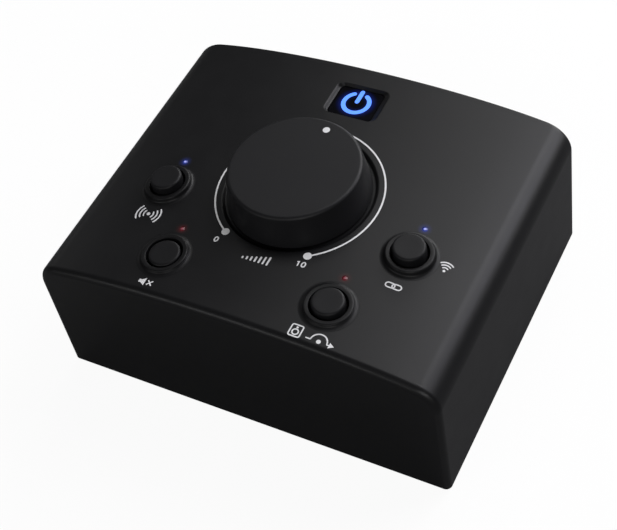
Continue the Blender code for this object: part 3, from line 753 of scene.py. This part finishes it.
# Each light pipe has a dim rim and a small bright core under its dome.
def makeLamps(blueRim, redRim, blueCore, redCore):
    for name, (x, y, _, _) in buttons.items():
        bright = name in ("wireless", "pair")
        top = crown(x)
        slot = "blue_light" if bright else "red_light"
        profile = [(0, lamp["foot"]), (lamp["radius"], lamp["foot"]), (lamp["radius"], top - 0.12)]
        profile += [(lamp["radius"] - 0.1, top - 0.02), (0.5, top + 0.05), (0, top + 0.06)]
        centre = (x, y + lampBehind, 0)
        pipe = makeMesh(name + "Lamp", *turnedParts(profile, 24, centre), blueRim if bright else redRim, slot)
        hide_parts(name + "_light_pipe")
        core = lamp["core"]
        profile = [(0, top), (core, top), (core, top + 0.07), (core * 0.6, top + 0.1), (0, top + 0.11)]
        makeMesh(name + "LampCore", *turnedParts(profile, 24, centre), blueCore if bright else redCore, slot)


# The lit window

# spill and spillReach set a painted glow on the lens round the standby mark
standby = {"radius": 4.35, "stroke": 1.5, "gap": 32, "barTop": 5.2, "barLow": 0.6, "rise": 0.25,
           "colour": (0.09, 0.25, 1.0), "strength": 1.4, "spill": (0.003, 0.012, 0.15), "spillReach": 2.6,
           "squeeze": 0.92, "steps": 74}


# Painted glow: the smoked lens is given a faint blue emission round the standby mark, standing in for the
# mark's bloom.
def lensPaint():
    paint = Paint("smokedLens", (0.002, 0.002, 0.003), 0.12, specular=0.1)
    x, y, _ = paint.apart()
    dx = x * standby["squeeze"]
    dy = y - (window["y"] + standby["rise"])
    away = (dx * dx + dy * dy).math("SQRT")
    ring = (away - standby["radius"]).math("ABSOLUTE")
    glow = (1 - ring / standby["spillReach"]).math("MAXIMUM", 0.0) ** 2.0
    paint.set("Roughness", paint.noise(3.0) * 0.1 + 0.08)
    paint.set("Emission Color", paint.blend(glow, (0, 0, 0), standby["spill"]))
    paint.shader.inputs["Emission Strength"].default_value = 1.0
    return paint


def makeWindow(lens, light):
    low, top = window["paneLow"], case["highZ"] - window["depth"] - 0.15

    def layer(grow, corner, bottom, height):
        outline = roundedOutline(window["width"] + grow, window["length"] + grow, window["corner"] + corner)
        return prismParts([(x, window["y"] + y) for x, y in outline], bottom, height)

    pane = layer(-0.5, 0, low, top)
    addParts(pane, layer(3.6, 1.8, low + 0.02, low + 0.98))
    piece = makeMesh("windowPane", *pane, lens, "smoked_lens", "casing")
    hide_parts("window_lens")
    s = standby
    ring = arcPoints(0, 0, s["radius"], 90 - s["gap"], s["gap"] - 270, s["steps"])
    marks = strokeParts(ring, s["stroke"]) + strokeParts([(0, s["barLow"]), (0, s["barTop"])], s["stroke"])
    parts = ([], [])
    for outline in shift(marks, 0, window["y"] + s["rise"]):
        addParts(parts, prismParts(outline, top + 0.01, top + 0.06))
    makeMesh("standbyMark", *parts, light, "blue_light", "casing")


# Prints

# A pen stroke as outlines: one for each straight run, with round ends.
def strokeParts(path, width, closed=False):
    half = width / 2
    left, right = [], []
    count = len(path)
    for i, (x, y) in enumerate(path):
        before = path[i - 1] if i or closed else path[i]
        after = path[(i + 1) % count] if i < count - 1 or closed else path[i]
        dx, dy = after[0] - before[0], after[1] - before[1]
        size = math.hypot(dx, dy) or 1.0
        nx, ny = -dy / size * half, dx / size * half
        left.append((x + nx, y + ny))
        right.append((x - nx, y - ny))
    if closed:
        return [[right[i], right[(i + 1) % count], left[(i + 1) % count], left[i]] for i in range(count)]

    def endRound(end, side):
        start = math.degrees(math.atan2(side[1] - end[1], side[0] - end[0]))
        return arcPoints(end[0], end[1], half, start, start + 180, 8)[1:-1]

    shapes = [[left[0], *endRound(path[0], left[0]), right[0]]]
    shapes += [[right[i], right[i + 1], left[i + 1], left[i]] for i in range(count - 1)]
    return shapes + [[right[-1], *endRound(path[-1], right[-1]), left[-1]]]


def discShape(cx, cy, radius, steps=28):
    angles = [turn * i / steps for i in range(steps)]
    return [(cx + radius * math.cos(a), cy + radius * math.sin(a)) for a in angles]


def shift(shapes, dx, dy):
    return [[(x + dx, y + dy) for x, y in shape] for shape in shapes]


def zero(width, height, pen):
    path = [(width / 2 * math.cos(turn * i / 24), height / 2 * math.sin(turn * i / 24)) for i in range(24)]
    return strokeParts(path, pen, True)


scale = {"radius": 27.1, "end": 148, "steps": 148, "line": 0.55, "dot": 1.35}
pen = 0.42
# each sign's place from the knob's axis
signPlaces = {
    "scaleLow": (-15.7, -26.6), "scaleOne": (13.0, -26.4), "scaleZero": (14.7, -26.4),
    "levelBars": (-0.1, -29.0), "waves": (-42.9, -23.7), "horn": (-28.7, -48.6), "linkLeft": (41.75, -23.2),
    "linkRight": (43.85, -23.2), "speaker": (23.4, -48.7), "bypass": (31.2, -48.5), "fan": (54.0, -10.4),
}


def printShapes():
    prints = {}
    s, at = scale, signPlaces
    arc = arcPoints(0, 0, s["radius"], 90 + s["end"], 90 - s["end"], s["steps"])
    dots = [discShape(*end, s["dot"]) for end in (arc[0], arc[-1])]
    prints["scaleArc"] = strokeParts(arc, s["line"]) + dots
    digit = zero(1.15, 1.75, pen)
    prints["scaleLow"] = shift(digit, *at["scaleLow"])
    one = strokeParts([(-0.45, 0.5), (0, 0.85), (0, -0.85)], pen)
    prints["scaleHigh"] = shift(one, *at["scaleOne"]) + shift(digit, *at["scaleZero"])
    bars = []
    for i in range(7):
        bars += strokeParts([(-4.2 + 1.4 * i, -1.4), (-4.2 + 1.4 * i, -1.1 + 0.42 * i)], 0.62)
    prints["levelBars"] = shift(bars, *at["levelBars"])
    waves = [discShape(0, 0, 0.62)]
    for radius in (1.7, 3.0, 4.3):
        for side in (0, 180):
            waves += strokeParts(arcPoints(0, 0, radius, side - 38, side + 38, 14), 0.5)
    prints["wirelessMark"] = shift(waves, *at["waves"])
    horn = [[(-2.4, -0.55), (-1.5, -0.55), (-1.5, 0.55), (-2.4, 0.55)],
            [(-1.45, -0.6), (-0.2, -1.45), (-0.2, 1.45), (-1.45, 0.6)]]
    cross = strokeParts([(0.75, -0.75), (2.25, 0.75)], pen) + strokeParts([(0.75, 0.75), (2.25, -0.75)], pen)
    prints["muteMark"] = shift(horn + cross, *at["horn"])
    link = strokeParts(roundedOutline(2.9, 1.7, 0.84, 6), pen, True)
    prints["pairMark"] = shift(link, *at["linkLeft"]) + shift(link, *at["linkRight"])
    box = strokeParts(roundedOutline(3.6, 4.0, 0.5, 4), pen, True)
    box += strokeParts(discShape(0, -0.45, 0.95, 20), pen, True) + [discShape(0, 1.15, 0.35, 14)]
    path = [(-4.0, -1.2), (-2.6, -1.2)] + arcPoints(0, -1.2, 2.6, 180, 0, 20) + [(4.0, -1.2)]
    path = strokeParts(path, pen) + [[(3.3, -2.2), (4.9, -1.2), (3.3, -0.2)], discShape(0, -1.2, 0.7)]
    prints["bypassMark"] = shift(box, *at["speaker"]) + shift(path, *at["bypass"])
    fan = [discShape(0, -1.5, 0.42)]
    for radius in (1.25, 2.2, 3.15):
        fan += strokeParts(arcPoints(0, -1.5, radius, 52, 128, 10), pen)
    prints["signalMark"] = shift(fan, *at["fan"])
    return prints


inkStand = {"low": -0.03, "high": 0.035}


def makePrints(ink):
    for name, shapes in printShapes().items():
        parts = ([], [])
        for outline in shift(shapes, 0, knobY):
            points, faces = prismParts(outline, inkStand["low"], inkStand["high"])
            addParts(parts, ([(x, y, crown(x) + z) for x, y, z in points], faces))
        makeMesh(name, *parts, ink, "pointer_white", "casing")
    print("prints laid")


# Fasteners

screwHead = {"seat": -0.3, "radius": 2.7, "height": 1.2, "shank": 1.5, "crossWidth": 0.75, "crossReach": 1.5,
             "crossDepth": 0.8}
baseScrew = {"x": 59, "ys": (-46.25, 47.15), "z": 2.0, "length": 7.7}
rearScrew = {"x": 59, "z": 33.45, "length": 6.9}
foot = {"x": 57, "frontY": -31.25, "rearY": 26.75, "radius": 4.3, "edge": 0.7, "height": 1.7, "steps": 48}


# A pan-head cross-recess screw with its head towards -Z, laid along facing.
def makeScrew(name, node, place, paint, slot, length, facing=(0, 0, 1)):
    s = screwHead
    top = s["seat"] - s["height"]
    profile = [(0, top)]
    for degrees in range(15, 90, 12):
        a = math.radians(degrees)
        profile.append((s["radius"] * math.sin(a), s["seat"] - s["height"] * math.cos(a) ** 0.8))
    profile += [(s["radius"], s["seat"]), (s["shank"], s["seat"]), (s["shank"], length - 0.6)]
    profile += [(s["shank"] - 0.4, length), (0, length)]
    piece = makeMesh(name, *turnedParts(profile, 40), paint, slot)
    steps = []
    for wide, long in ((s["crossWidth"], 2 * s["crossReach"]), (2 * s["crossReach"], s["crossWidth"])):
        cross = roundedOutline(wide, long, 0.15, 2)
        steps.append(("DIFFERENCE", prismParts(cross, top - 0.4, top + s["crossDepth"])))
    carve(piece, steps)
    spin = Vector((0, 0, 1)).rotation_difference(Vector(facing)).to_matrix().to_4x4()
    piece.data.transform(Matrix.Translation(Vector(place) * mm) @ spin)
    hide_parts(node)


def makeFasteners(zinc, coat):
    s = baseScrew
    places = [(x, y, s["z"]) for x in (-s["x"], s["x"]) for y in s["ys"]]
    for number, place in enumerate(places, 1):
        makeScrew(f"baseScrew{number}", f"base_screw_{number}", place, zinc, "zinc_screw", s["length"])
    s = rearScrew
    for side, x in (("left", -s["x"]), ("right", s["x"])):
        place = (x, rear["outer"], s["z"])
        name = "rearScrew" + side.capitalize()
        makeScrew(name, "rear_screw_" + side, place, coat, "black_screw", s["length"], (0, -1, 0))


def makeFeet(paint):
    f = foot
    profile = [(0, 0.12), (3.2, 0.12), (3.5, 0.0), (f["radius"], 0.0)]
    profile += arcPoints(f["radius"], f["edge"], f["edge"], -90, 0, 5)
    profile += [(f["radius"] + 0.6, f["height"]), (0, f["height"])]
    for end in ("front", "rear"):
        for side, x in (("left", -f["x"]), ("right", f["x"])):
            parts = turnedParts(profile, f["steps"], (x, f[end + "Y"], 0))
            piece = makeMesh(end + side.capitalize() + "Foot", *parts, paint, "foot_rubber")
            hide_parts("foot_" + end + "_" + side)


# The rear

rear = {"outer": 52.45, "inner": 50.95, "socketZ": 18.0, "inset": 2.8, "foot": 3.8, "edge": 0.2,
        "middleZ": 25}
socketFace = rear["inner"] - 0.3
powerSwitch = {"place": (-40.621, 52.45, 30.75), "opening": (14.1, 9.1), "bezel": (15.1, 10.1),
               "barrel": (13.5, 8.5), "pocket": (11.6, 7.0)}
outputJack = {"xs": {"left_output": 7.243, "right_output": 25.729, "sub_output": 44.214}, "hole": 5.9,
              "reach": 57.25, "width": 14.4, "height": 16.1, "depth": 25.8, "z": 17.95, "corner": 0.8,
              "soft": 0.3, "bore": 3.3, "thread": 5.6, "springZ": 20.9}
phonoPair = {"xs": {"Left": -21.243, "Right": -9.043}, "hole": 4.5, "reach": 56.45, "x": -15.143,
             "width": 22.2, "height": 13.1, "depth": 11.8, "z": 16.45, "corner": 0.8, "soft": 0.3}
auxJack = {"x": -34.329, "hole": 3.7, "reach": 53.65, "width": 8.0, "height": 12.1, "depth": 13.8, "z": 15.95,
           "corner": 0.6, "soft": 0.25, "bore": 1.85}
inlet = {"x": -46.914, "hole": 3.5, "width": 9.0, "height": 11.0, "depth": 12.8, "z": 15.4, "corner": 0.6,
         "soft": 0.25, "pin": 1.0}


def makeRearPlate(paint):
    inset, edge, middle = rear["inset"], rear["edge"], rear["middleZ"]
    section, _ = caseSection(case["halfWidth"] - inset, inset, rear["foot"], 40, 12)
    points = []
    for y, pull in ((rear["inner"], 0), (rear["outer"] - edge, 0), (rear["outer"], edge)):
        for x, z in section:
            away = math.hypot(x, z - middle) or 1
            points.append((x - x / away * pull, y, z - (z - middle) / away * pull))
    plate = makeMesh("rearPlate", points, loftFaces(len(section), 3), paint, "panel_paint")
    holes = [(x, rear["socketZ"], outputJack["hole"]) for x in outputJack["xs"].values()]
    holes += [(x, rear["socketZ"], phonoPair["hole"]) for x in phonoPair["xs"].values()]
    holes += [(small["x"], rear["socketZ"], small["hole"]) for small in (auxJack, inlet)]
    holes += [(x, rearScrew["z"], 1.8) for x in (-rearScrew["x"], rearScrew["x"])]
    steps = []
    for x, z, radius in holes:
        drill = [(0, -4), (radius, -4), (radius, 4), (0, 4)]
        steps.append(("DIFFERENCE", turnedRear(drill, 64, (x, rear["outer"], z))))
    opening = prismParts(roundedOutline(*powerSwitch["opening"], 0.5, 4), -4, 4)
    steps.append(("DIFFERENCE", movedParts(opening, rearward(powerSwitch["place"]))))
    carve(plate, steps)
    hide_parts("rear_panel")


# A socket's plastic block behind the plate, with its bore turned out.
def makeBlock(name, node, size, x, paint, bore=None, steps=48):
    parts = softBlockParts(size["width"], size["height"], -size["depth"], -0.02, size["corner"], size["soft"])
    piece = makeMesh(name, *movedParts(parts, rearward((x, socketFace, size["z"]))), paint, "socket_plastic")
    if bore:
        carve(piece, [("DIFFERENCE", turnedRear(bore, steps, (x, socketFace, rear["socketZ"])))])
    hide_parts(node)


# A ring or pin turned about a socket's axis; one with a closed profile is joined at its seam.
def makeTurned(name, node, profile, steps, x, paint, slot="nickel"):
    piece = makeMesh(name, *turnedRear(profile, steps, (x, socketFace, rear["socketZ"])), paint, slot)
    if profile[0] == profile[-1]:
        weld(piece)
    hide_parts(node)


def threadProfile(radius, start, end, pitch=0.6, depth=0.22):
    rows = []
    z = start
    while z + pitch <= end:
        rows += [(radius - depth, z), (radius, z + pitch * 0.5)]
        z += pitch
    return rows + [(radius - depth, z), (radius - depth, end - 0.15), (radius - depth - 0.15, end)]


def makeOutputs(body, metal):
    j = outputJack
    reach = j["reach"] - socketFace
    bore = [(0, -26.0), (j["bore"], -26.0), (j["bore"], 3), (0, 3)]
    tube = [(j["bore"], -2.0), (j["bore"], reach - 0.45)]
    tube += arcPoints(j["bore"] + 0.45, reach - 0.45, 0.45, 180, 90, 5)
    tube += threadProfile(j["thread"], -0.1, reach)[::-1] + [(5.35, -0.1), (5.35, -2.0), (j["bore"], -2.0)]
    for name, x in j["xs"].items():
        makeBlock(name + "Body", name + "_jack", j, x, body, bore)
        makeTurned(name + "Ferrule", name + "_jack", tube, 64, x, metal)
        makeNut(name + "Nut", name + "_nut", x, metal)
        spring = softBlockParts(1.6, 0.5, -16.0, -3.0, 0.2, 0.1, 2)
        spring = movedParts(spring, rearward((x, socketFace, j["springZ"])))
        makeMesh(name + "Contact", *spring, metal, "nickel")


nut = {"flats": 14.0, "low": 0.3, "high": 2.7, "cone": 7.9, "bore": 5.62}


# A hexagon nut, chamfered in front, with its bore countersunk.
def makeNut(name, node, x, metal):
    low, high, cone, bore = nut["low"], nut["high"], nut["cone"], nut["bore"]
    hexagon = arcPoints(0, 0, nut["flats"] / math.sqrt(3), 30, 330, 5)
    piece = makeMesh(name, *prismParts(hexagon, low, high), metal, "nickel")
    outside = [(0, low - 0.2), (cone - 0.3, low - 0.2), (cone, low + 0.35), (cone, high - 0.55)]
    outside += [(6.95, high), (6.5, high + 0.3), (0, high + 0.3)]
    inside = [(0, low - 1), (bore, low - 1), (bore, high - 0.3)]
    inside += [(6.1, high + 0.2), (6.1, high + 1), (0, high + 1)]
    carve(piece, [("INTERSECT", turnedParts(outside, 64)), ("DIFFERENCE", turnedParts(inside, 64))])
    place = rearward((x, rear["outer"], rear["socketZ"]))
    for v in piece.data.vertices:
        v.co = Vector(place(v.co / mm)) * mm
    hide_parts(node)


def makePhono(body, metal, insulators):
    p = phonoPair
    makeBlock("phonoBlock", "phono_jack_pair", p, p["x"], body)
    reach = p["reach"] - socketFace
    shell = [(3.55, -0.05), (3.55, reach - 0.3), (3.8, reach), (4.05, reach)]
    shell += arcPoints(4.05, reach - 0.15, 0.15, 90, 0, 2) + [(4.2, reach - 2.6), (4.0, reach - 2.8)]
    shell += [(4.2, reach - 3.0), (4.2, 0.4), (4.3, -0.05), (3.55, -0.05)]
    core = [(1.6, 0.3), (1.6, reach - 0.75), (1.9, reach - 0.45), (3.5, reach - 0.45), (3.5, 0.3), (1.6, 0.3)]
    for (side, x), insulator in zip(p["xs"].items(), insulators):
        makeTurned("phonoBarrel" + side, "phono_jack_pair", shell, 56, x, metal)
        makeTurned("phonoInsulator" + side, "phono_jack_pair", core, 48, x, insulator, "white_plastic")


def makeSmallSockets(body, metal):
    x, bore, reach = auxJack["x"], auxJack["bore"], auxJack["reach"] - socketFace
    makeBlock("auxBody", "aux_jack", auxJack, x, body, [(0, -11), (bore, -11), (bore, 3), (0, 3)], 40)
    ring = [(bore, -0.3), (bore, reach - 0.3)] + arcPoints(bore + 0.3, reach - 0.3, 0.3, 180, 90, 4)
    ring += arcPoints(3.1, reach - 0.3, 0.3, 90, 0, 4) + [(3.4, -0.3), (bore, -0.3)]
    makeTurned("auxCollar", "aux_jack", ring, 48, x, metal)
    x, radius = inlet["x"], inlet["pin"]
    well = [(0, -9.5), (2.9, -9.5), (2.9, -0.4), (3.2, 0.6), (0, 0.6)]
    makeBlock("inletBody", "dc_inlet", inlet, x, body, well)
    pin = [(0, -9.6), (radius, -9.6), (radius, -1.0)]
    pin += arcPoints(radius - 0.5, -1.0, 0.5, 0, 90, 4) + [(0, -0.5)]
    makeTurned("inletPin", "dc_inlet", pin, 28, x, metal)


rocker = {"half": 5.0, "crest": 2.3, "height": 6.4, "tilt": 10, "curve": 1.35,
          "pivot": (-40.621, 53.358, 30.75)}


def makePowerSwitch(body, gloss, ink):
    p = powerSwitch
    place = rearward(p["place"])
    bezel = movedParts(softBlockParts(*p["bezel"], 0.3, 2.3, 0.9, 0.45), place)
    piece = makeMesh("switchBezel", *bezel, body, "switch_plastic")
    barrel = movedParts(prismParts(roundedOutline(*p["barrel"], 0.5, 4), -13.0, 1.0), place)
    pocket = movedParts(prismParts(roundedOutline(*p["pocket"], 0.35, 4), -11.8, 5), place)
    carve(piece, [("UNION", barrel), ("DIFFERENCE", pocket)])
    evenNormals(piece)
    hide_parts("power_switch_housing")
    r = rocker
    half, crest, curve = r["half"], r["crest"], r["curve"]
    spin = Matrix.Rotation(math.radians(r["tilt"]), 3, "Z")

    def dish(u):
        return crest * (0.5 + 0.5 * abs(u) ** curve)

    def tipped(p):
        return tuple(spin @ Vector(p) + Vector(r["pivot"]))

    outline = [(half * (i / 12 - 1), dish(i / 12 - 1)) for i in range(25)] + [(half, -crest), (-half, -crest)]
    parts = movedParts(prismParts(outline, -r["height"] / 2, r["height"] / 2), tipped)
    piece = makeMesh("powerRocker", *parts, gloss, "switch_plastic", "power", 35)
    soft = piece.modifiers.new("soft", "BEVEL")
    soft.width = 0.25 * mm
    soft.segments = 3
    soft.limit_method = "ANGLE"
    soft.angle_limit = math.radians(50)
    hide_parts("power_rocker")
    marks = ([], [])
    for shapes, u in ((strokeParts([(0, -1.0), (0, 1.0)], 0.4), 0.62), (zero(1.5, 2.0, 0.4), -0.62)):
        lean = math.copysign(0.5 * crest * curve * abs(u) ** (curve - 1) / half, u)
        for shape in shapes:
            points, faces = prismParts(shape, -0.05, 0.03)
            bent = [(half * u + x, dish(u) + x * lean + z + 0.02, y) for x, y, z in points]
            addParts(marks, movedParts((bent, faces), tipped))
    makeMesh("rockerMarks", *marks, ink, "pointer_white", "power")


# Studio

# the lamps' places and sizes and their aim are in metres, the floor in millimetres
studio = {
    "lamps": {
        "backLeft": {"place": (-0.215, 0.599, 1.068), "size": (0.45, 0.45), "power": 1.48},
        "back": {"place": (0.144, 0.599, 1.08), "size": (0.45, 0.45), "power": 1.88},
        "key": {"place": (0.48, 0.576, 0.987), "size": (0.5, 0.5), "power": 3.46, "tint": (0.96, 0.955, 1)},
        "rearStrip": {"place": (0.12, 1.113, 0.481), "size": (1.0, 0.25), "power": 10.40},
        "left": {"place": (-1.068, 0.356, 0.465), "size": (0.5, 0.5), "power": 0.50},
        "rearRight": {"place": (0.784, 0.844, 0.388), "size": (0.5, 0.2), "power": 1.7},
        "front": {"place": (0.549, -0.915, 0.599), "size": (0.5, 0.5), "power": 4.76},
        "edge": {"place": (0.747, 0.699, 0.677), "size": (0.25, 0.25), "power": 2.7, "tint": (0.9, 0.89, 1)},
        "frontStrip": {"place": (-0.456, -1.032, 0.458), "size": (0.6, 0.12), "power": 2.66},
        "slot": {"place": (0.339, 0.751, 0.922), "size": (0.2, 0.5), "power": 2.52, "tint": (0.93, 0.92, 1)},
    },
    "aim": (0, 0, 0.04), "ambient": 0.06, "mirrored": 0.06,
    "floorColour": 0.8, "floorAside": 0.24, "floorGlow": 0.94, "floorHalf": 6000.0, "floorZ": -0.1,
}


# Strength of the surround: white to the camera, dimmer to the light that falls on the object.
def surroundLevel(nodes, aside, mirrored):
    path = nodes.node("LightPath")
    seen = path.other("Is Camera Ray")
    shiny = path.other("Is Glossy Ray").math("MAXIMUM", path.other("Is Transmission Ray"))
    dim = nodes.node("MapRange", None, {"Value": shiny, "To Min": aside, "To Max": mirrored})
    return seen, nodes.node("MapRange", None, {"Value": seen, "To Min": dim, "To Max": 1.0})


def makeStudio():
    for name, spec in studio["lamps"].items():
        data = bpy.data.lights.new(name + "Light", "AREA")
        data.shape = "RECTANGLE"
        data.size, data.size_y = spec["size"]
        data.energy = spec["power"]
        data.color = spec.get("tint", (1, 1, 1))
        light = bpy.data.objects.new(name + "Light", data)
        bpy.context.collection.objects.link(light)
        light.location = spec["place"]
        light.rotation_mode = "QUATERNION"
        light.rotation_quaternion = (Vector(spec["place"]) - Vector(studio["aim"])).to_track_quat("Z", "Y")
    world = bpy.data.worlds.new("studioWorld")
    bpy.context.scene.world = world
    world.use_nodes = True
    air = Nodes(world.node_tree)
    back = air.tree.nodes["Background"]
    _, level = surroundLevel(air, studio["ambient"], studio["mirrored"])
    air.put(back.inputs["Strength"], level)
    air.put(back.inputs["Color"], (1, 1, 1))
    paint = Paint("studioFloor", (0.8, 0.8, 0.8), 0.9, specular=0.0)
    paint.set("Roughness", paint.noise(40.0, 2.0) * 0.02 + 0.88)
    seen, level = surroundLevel(paint, studio["floorAside"], studio["floorAside"])
    paint.set("Base Color", level * studio["floorColour"])
    lit = Wire(paint, paint.shader.outputs[0])
    mixed = paint.node("MixShader", None, [seen * studio["floorGlow"], lit, paint.node("Emission")])
    # clear from below, so that the underside can be seen
    below = paint.node("NewGeometry", out=6)
    both = paint.node("MixShader", None, [below, mixed, paint.node("BsdfTransparent")])
    paint.put(paint.tree.nodes["Material Output"].inputs["Surface"], both)
    side, low = studio["floorHalf"], studio["floorZ"]
    corners = [(-side, -side, low), (side, -side, low), (side, side, low), (-side, side, low)]
    floor = makeMesh("studioFloor", corners, [[0, 1, 2, 3]], paint, None, None)
    bpy.context.scene.view_settings.view_transform = "Standard"


# Putting it together

makeCamera()
black = case["colour"]
shellPaint = casePaint()
collarPaint = mouldedPlastic("collarPlastic", shade(black, 0.8), 0.45, specular=0.17)
knobPaint = mouldedPlastic("knobPlastic", knob["colour"], knob["rough"], 0.2, 0.003, knob["specular"])
capPaint = mouldedPlastic("capPlastic", shade(knob["colour"], 0.8), knob["rough"], 0.2, 0.003, specular=0.175)
socketPaint = mouldedPlastic("socketPlastic", (0.008, 0.008, 0.009), 0.42, 0.12, specular=0.3)
glossPaint = mouldedPlastic("rockerPlastic", (0.007, 0.007, 0.008), 0.28, 0.3, 0.002, specular=0.3)
chipPaint = mouldedPlastic("chipResin", (0.55, 0.53, 0.40), 0.3, 0.3)
whitePaint = mouldedPlastic("whitePlastic", (0.72, 0.72, 0.70), 0.4, 0.2)
redPaint = mouldedPlastic("redPlastic", (0.55, 0.02, 0.02), 0.4, 0.2)
nickelPaint = grainedMetal("platedNickel", (0.70, 0.68, 0.64), 0.26)
zincPaint = grainedMetal("zincSteel", (0.60, 0.60, 0.59), 0.36)
sheetPaint = grainedMetal("rolledSteel", (0.50, 0.50, 0.50), 0.42, (1, 24, 24), 4.0)
coatPaint = powderCoat("blackCoat", (0.007, 0.007, 0.008), 0.5)
rubber = rubberPaint()
ink = printPaint()
blueLamp = litPaint("blueLamp", (0.02, 0.035, 0.22), 1.0, 54.0)
redLamp = litPaint("redLamp", (0.07, 0.008, 0.012), 1.0, 55.0)
blueCore = litPaint("blueCore", (0.30, 0.32, 0.70), 1.0)
redCore = litPaint("redCore", (0.17, 0.045, 0.06), 1.0)
markLight = litPaint("markLight", standby["colour"], standby["strength"])
print("finishes mixed")

makeCase(shellPaint)
makeKnob(knobPaint, ink)
makeButtons(capPaint, collarPaint)
makeLamps(blueLamp, redLamp, blueCore, redCore)
makeWindow(lensPaint(), markLight)
makePrints(ink)
print("top dressed")

makeFasteners(zincPaint, coatPaint)
makeFeet(rubber)
makeRearPlate(coatPaint)
makeOutputs(socketPaint, nickelPaint)
makePhono(socketPaint, nickelPaint, (whitePaint, redPaint))
makeSmallSockets(socketPaint, nickelPaint)
makePowerSwitch(socketPaint, glossPaint, ink)
print("rear dressed")

kept = {
    "base_plate": sheetPaint, "control_board": boardPaint(), "main_board": boardPaint(),
    "ribbon_cable": ribbonPaint(), "volume_pot_body": zincPaint, "volume_pot_nut": nickelPaint,
    "volume_shaft": nickelPaint,
    "window_light_box": whitePaint, "window_light_chip": chipPaint,
    "control_board_screw_left": zincPaint, "control_board_screw_right": zincPaint,
    "main_board_screw_left": zincPaint, "main_board_screw_right": zincPaint,
}
for name in buttons:
    kept[name + "_switch"] = socketPaint
    kept[name + "_light_chip"] = chipPaint
for name, paint in kept.items():
    nodes[name].data.materials.clear()
    nodes[name].data.materials.append(paint.material)
makeStudio()
print("studio lit")
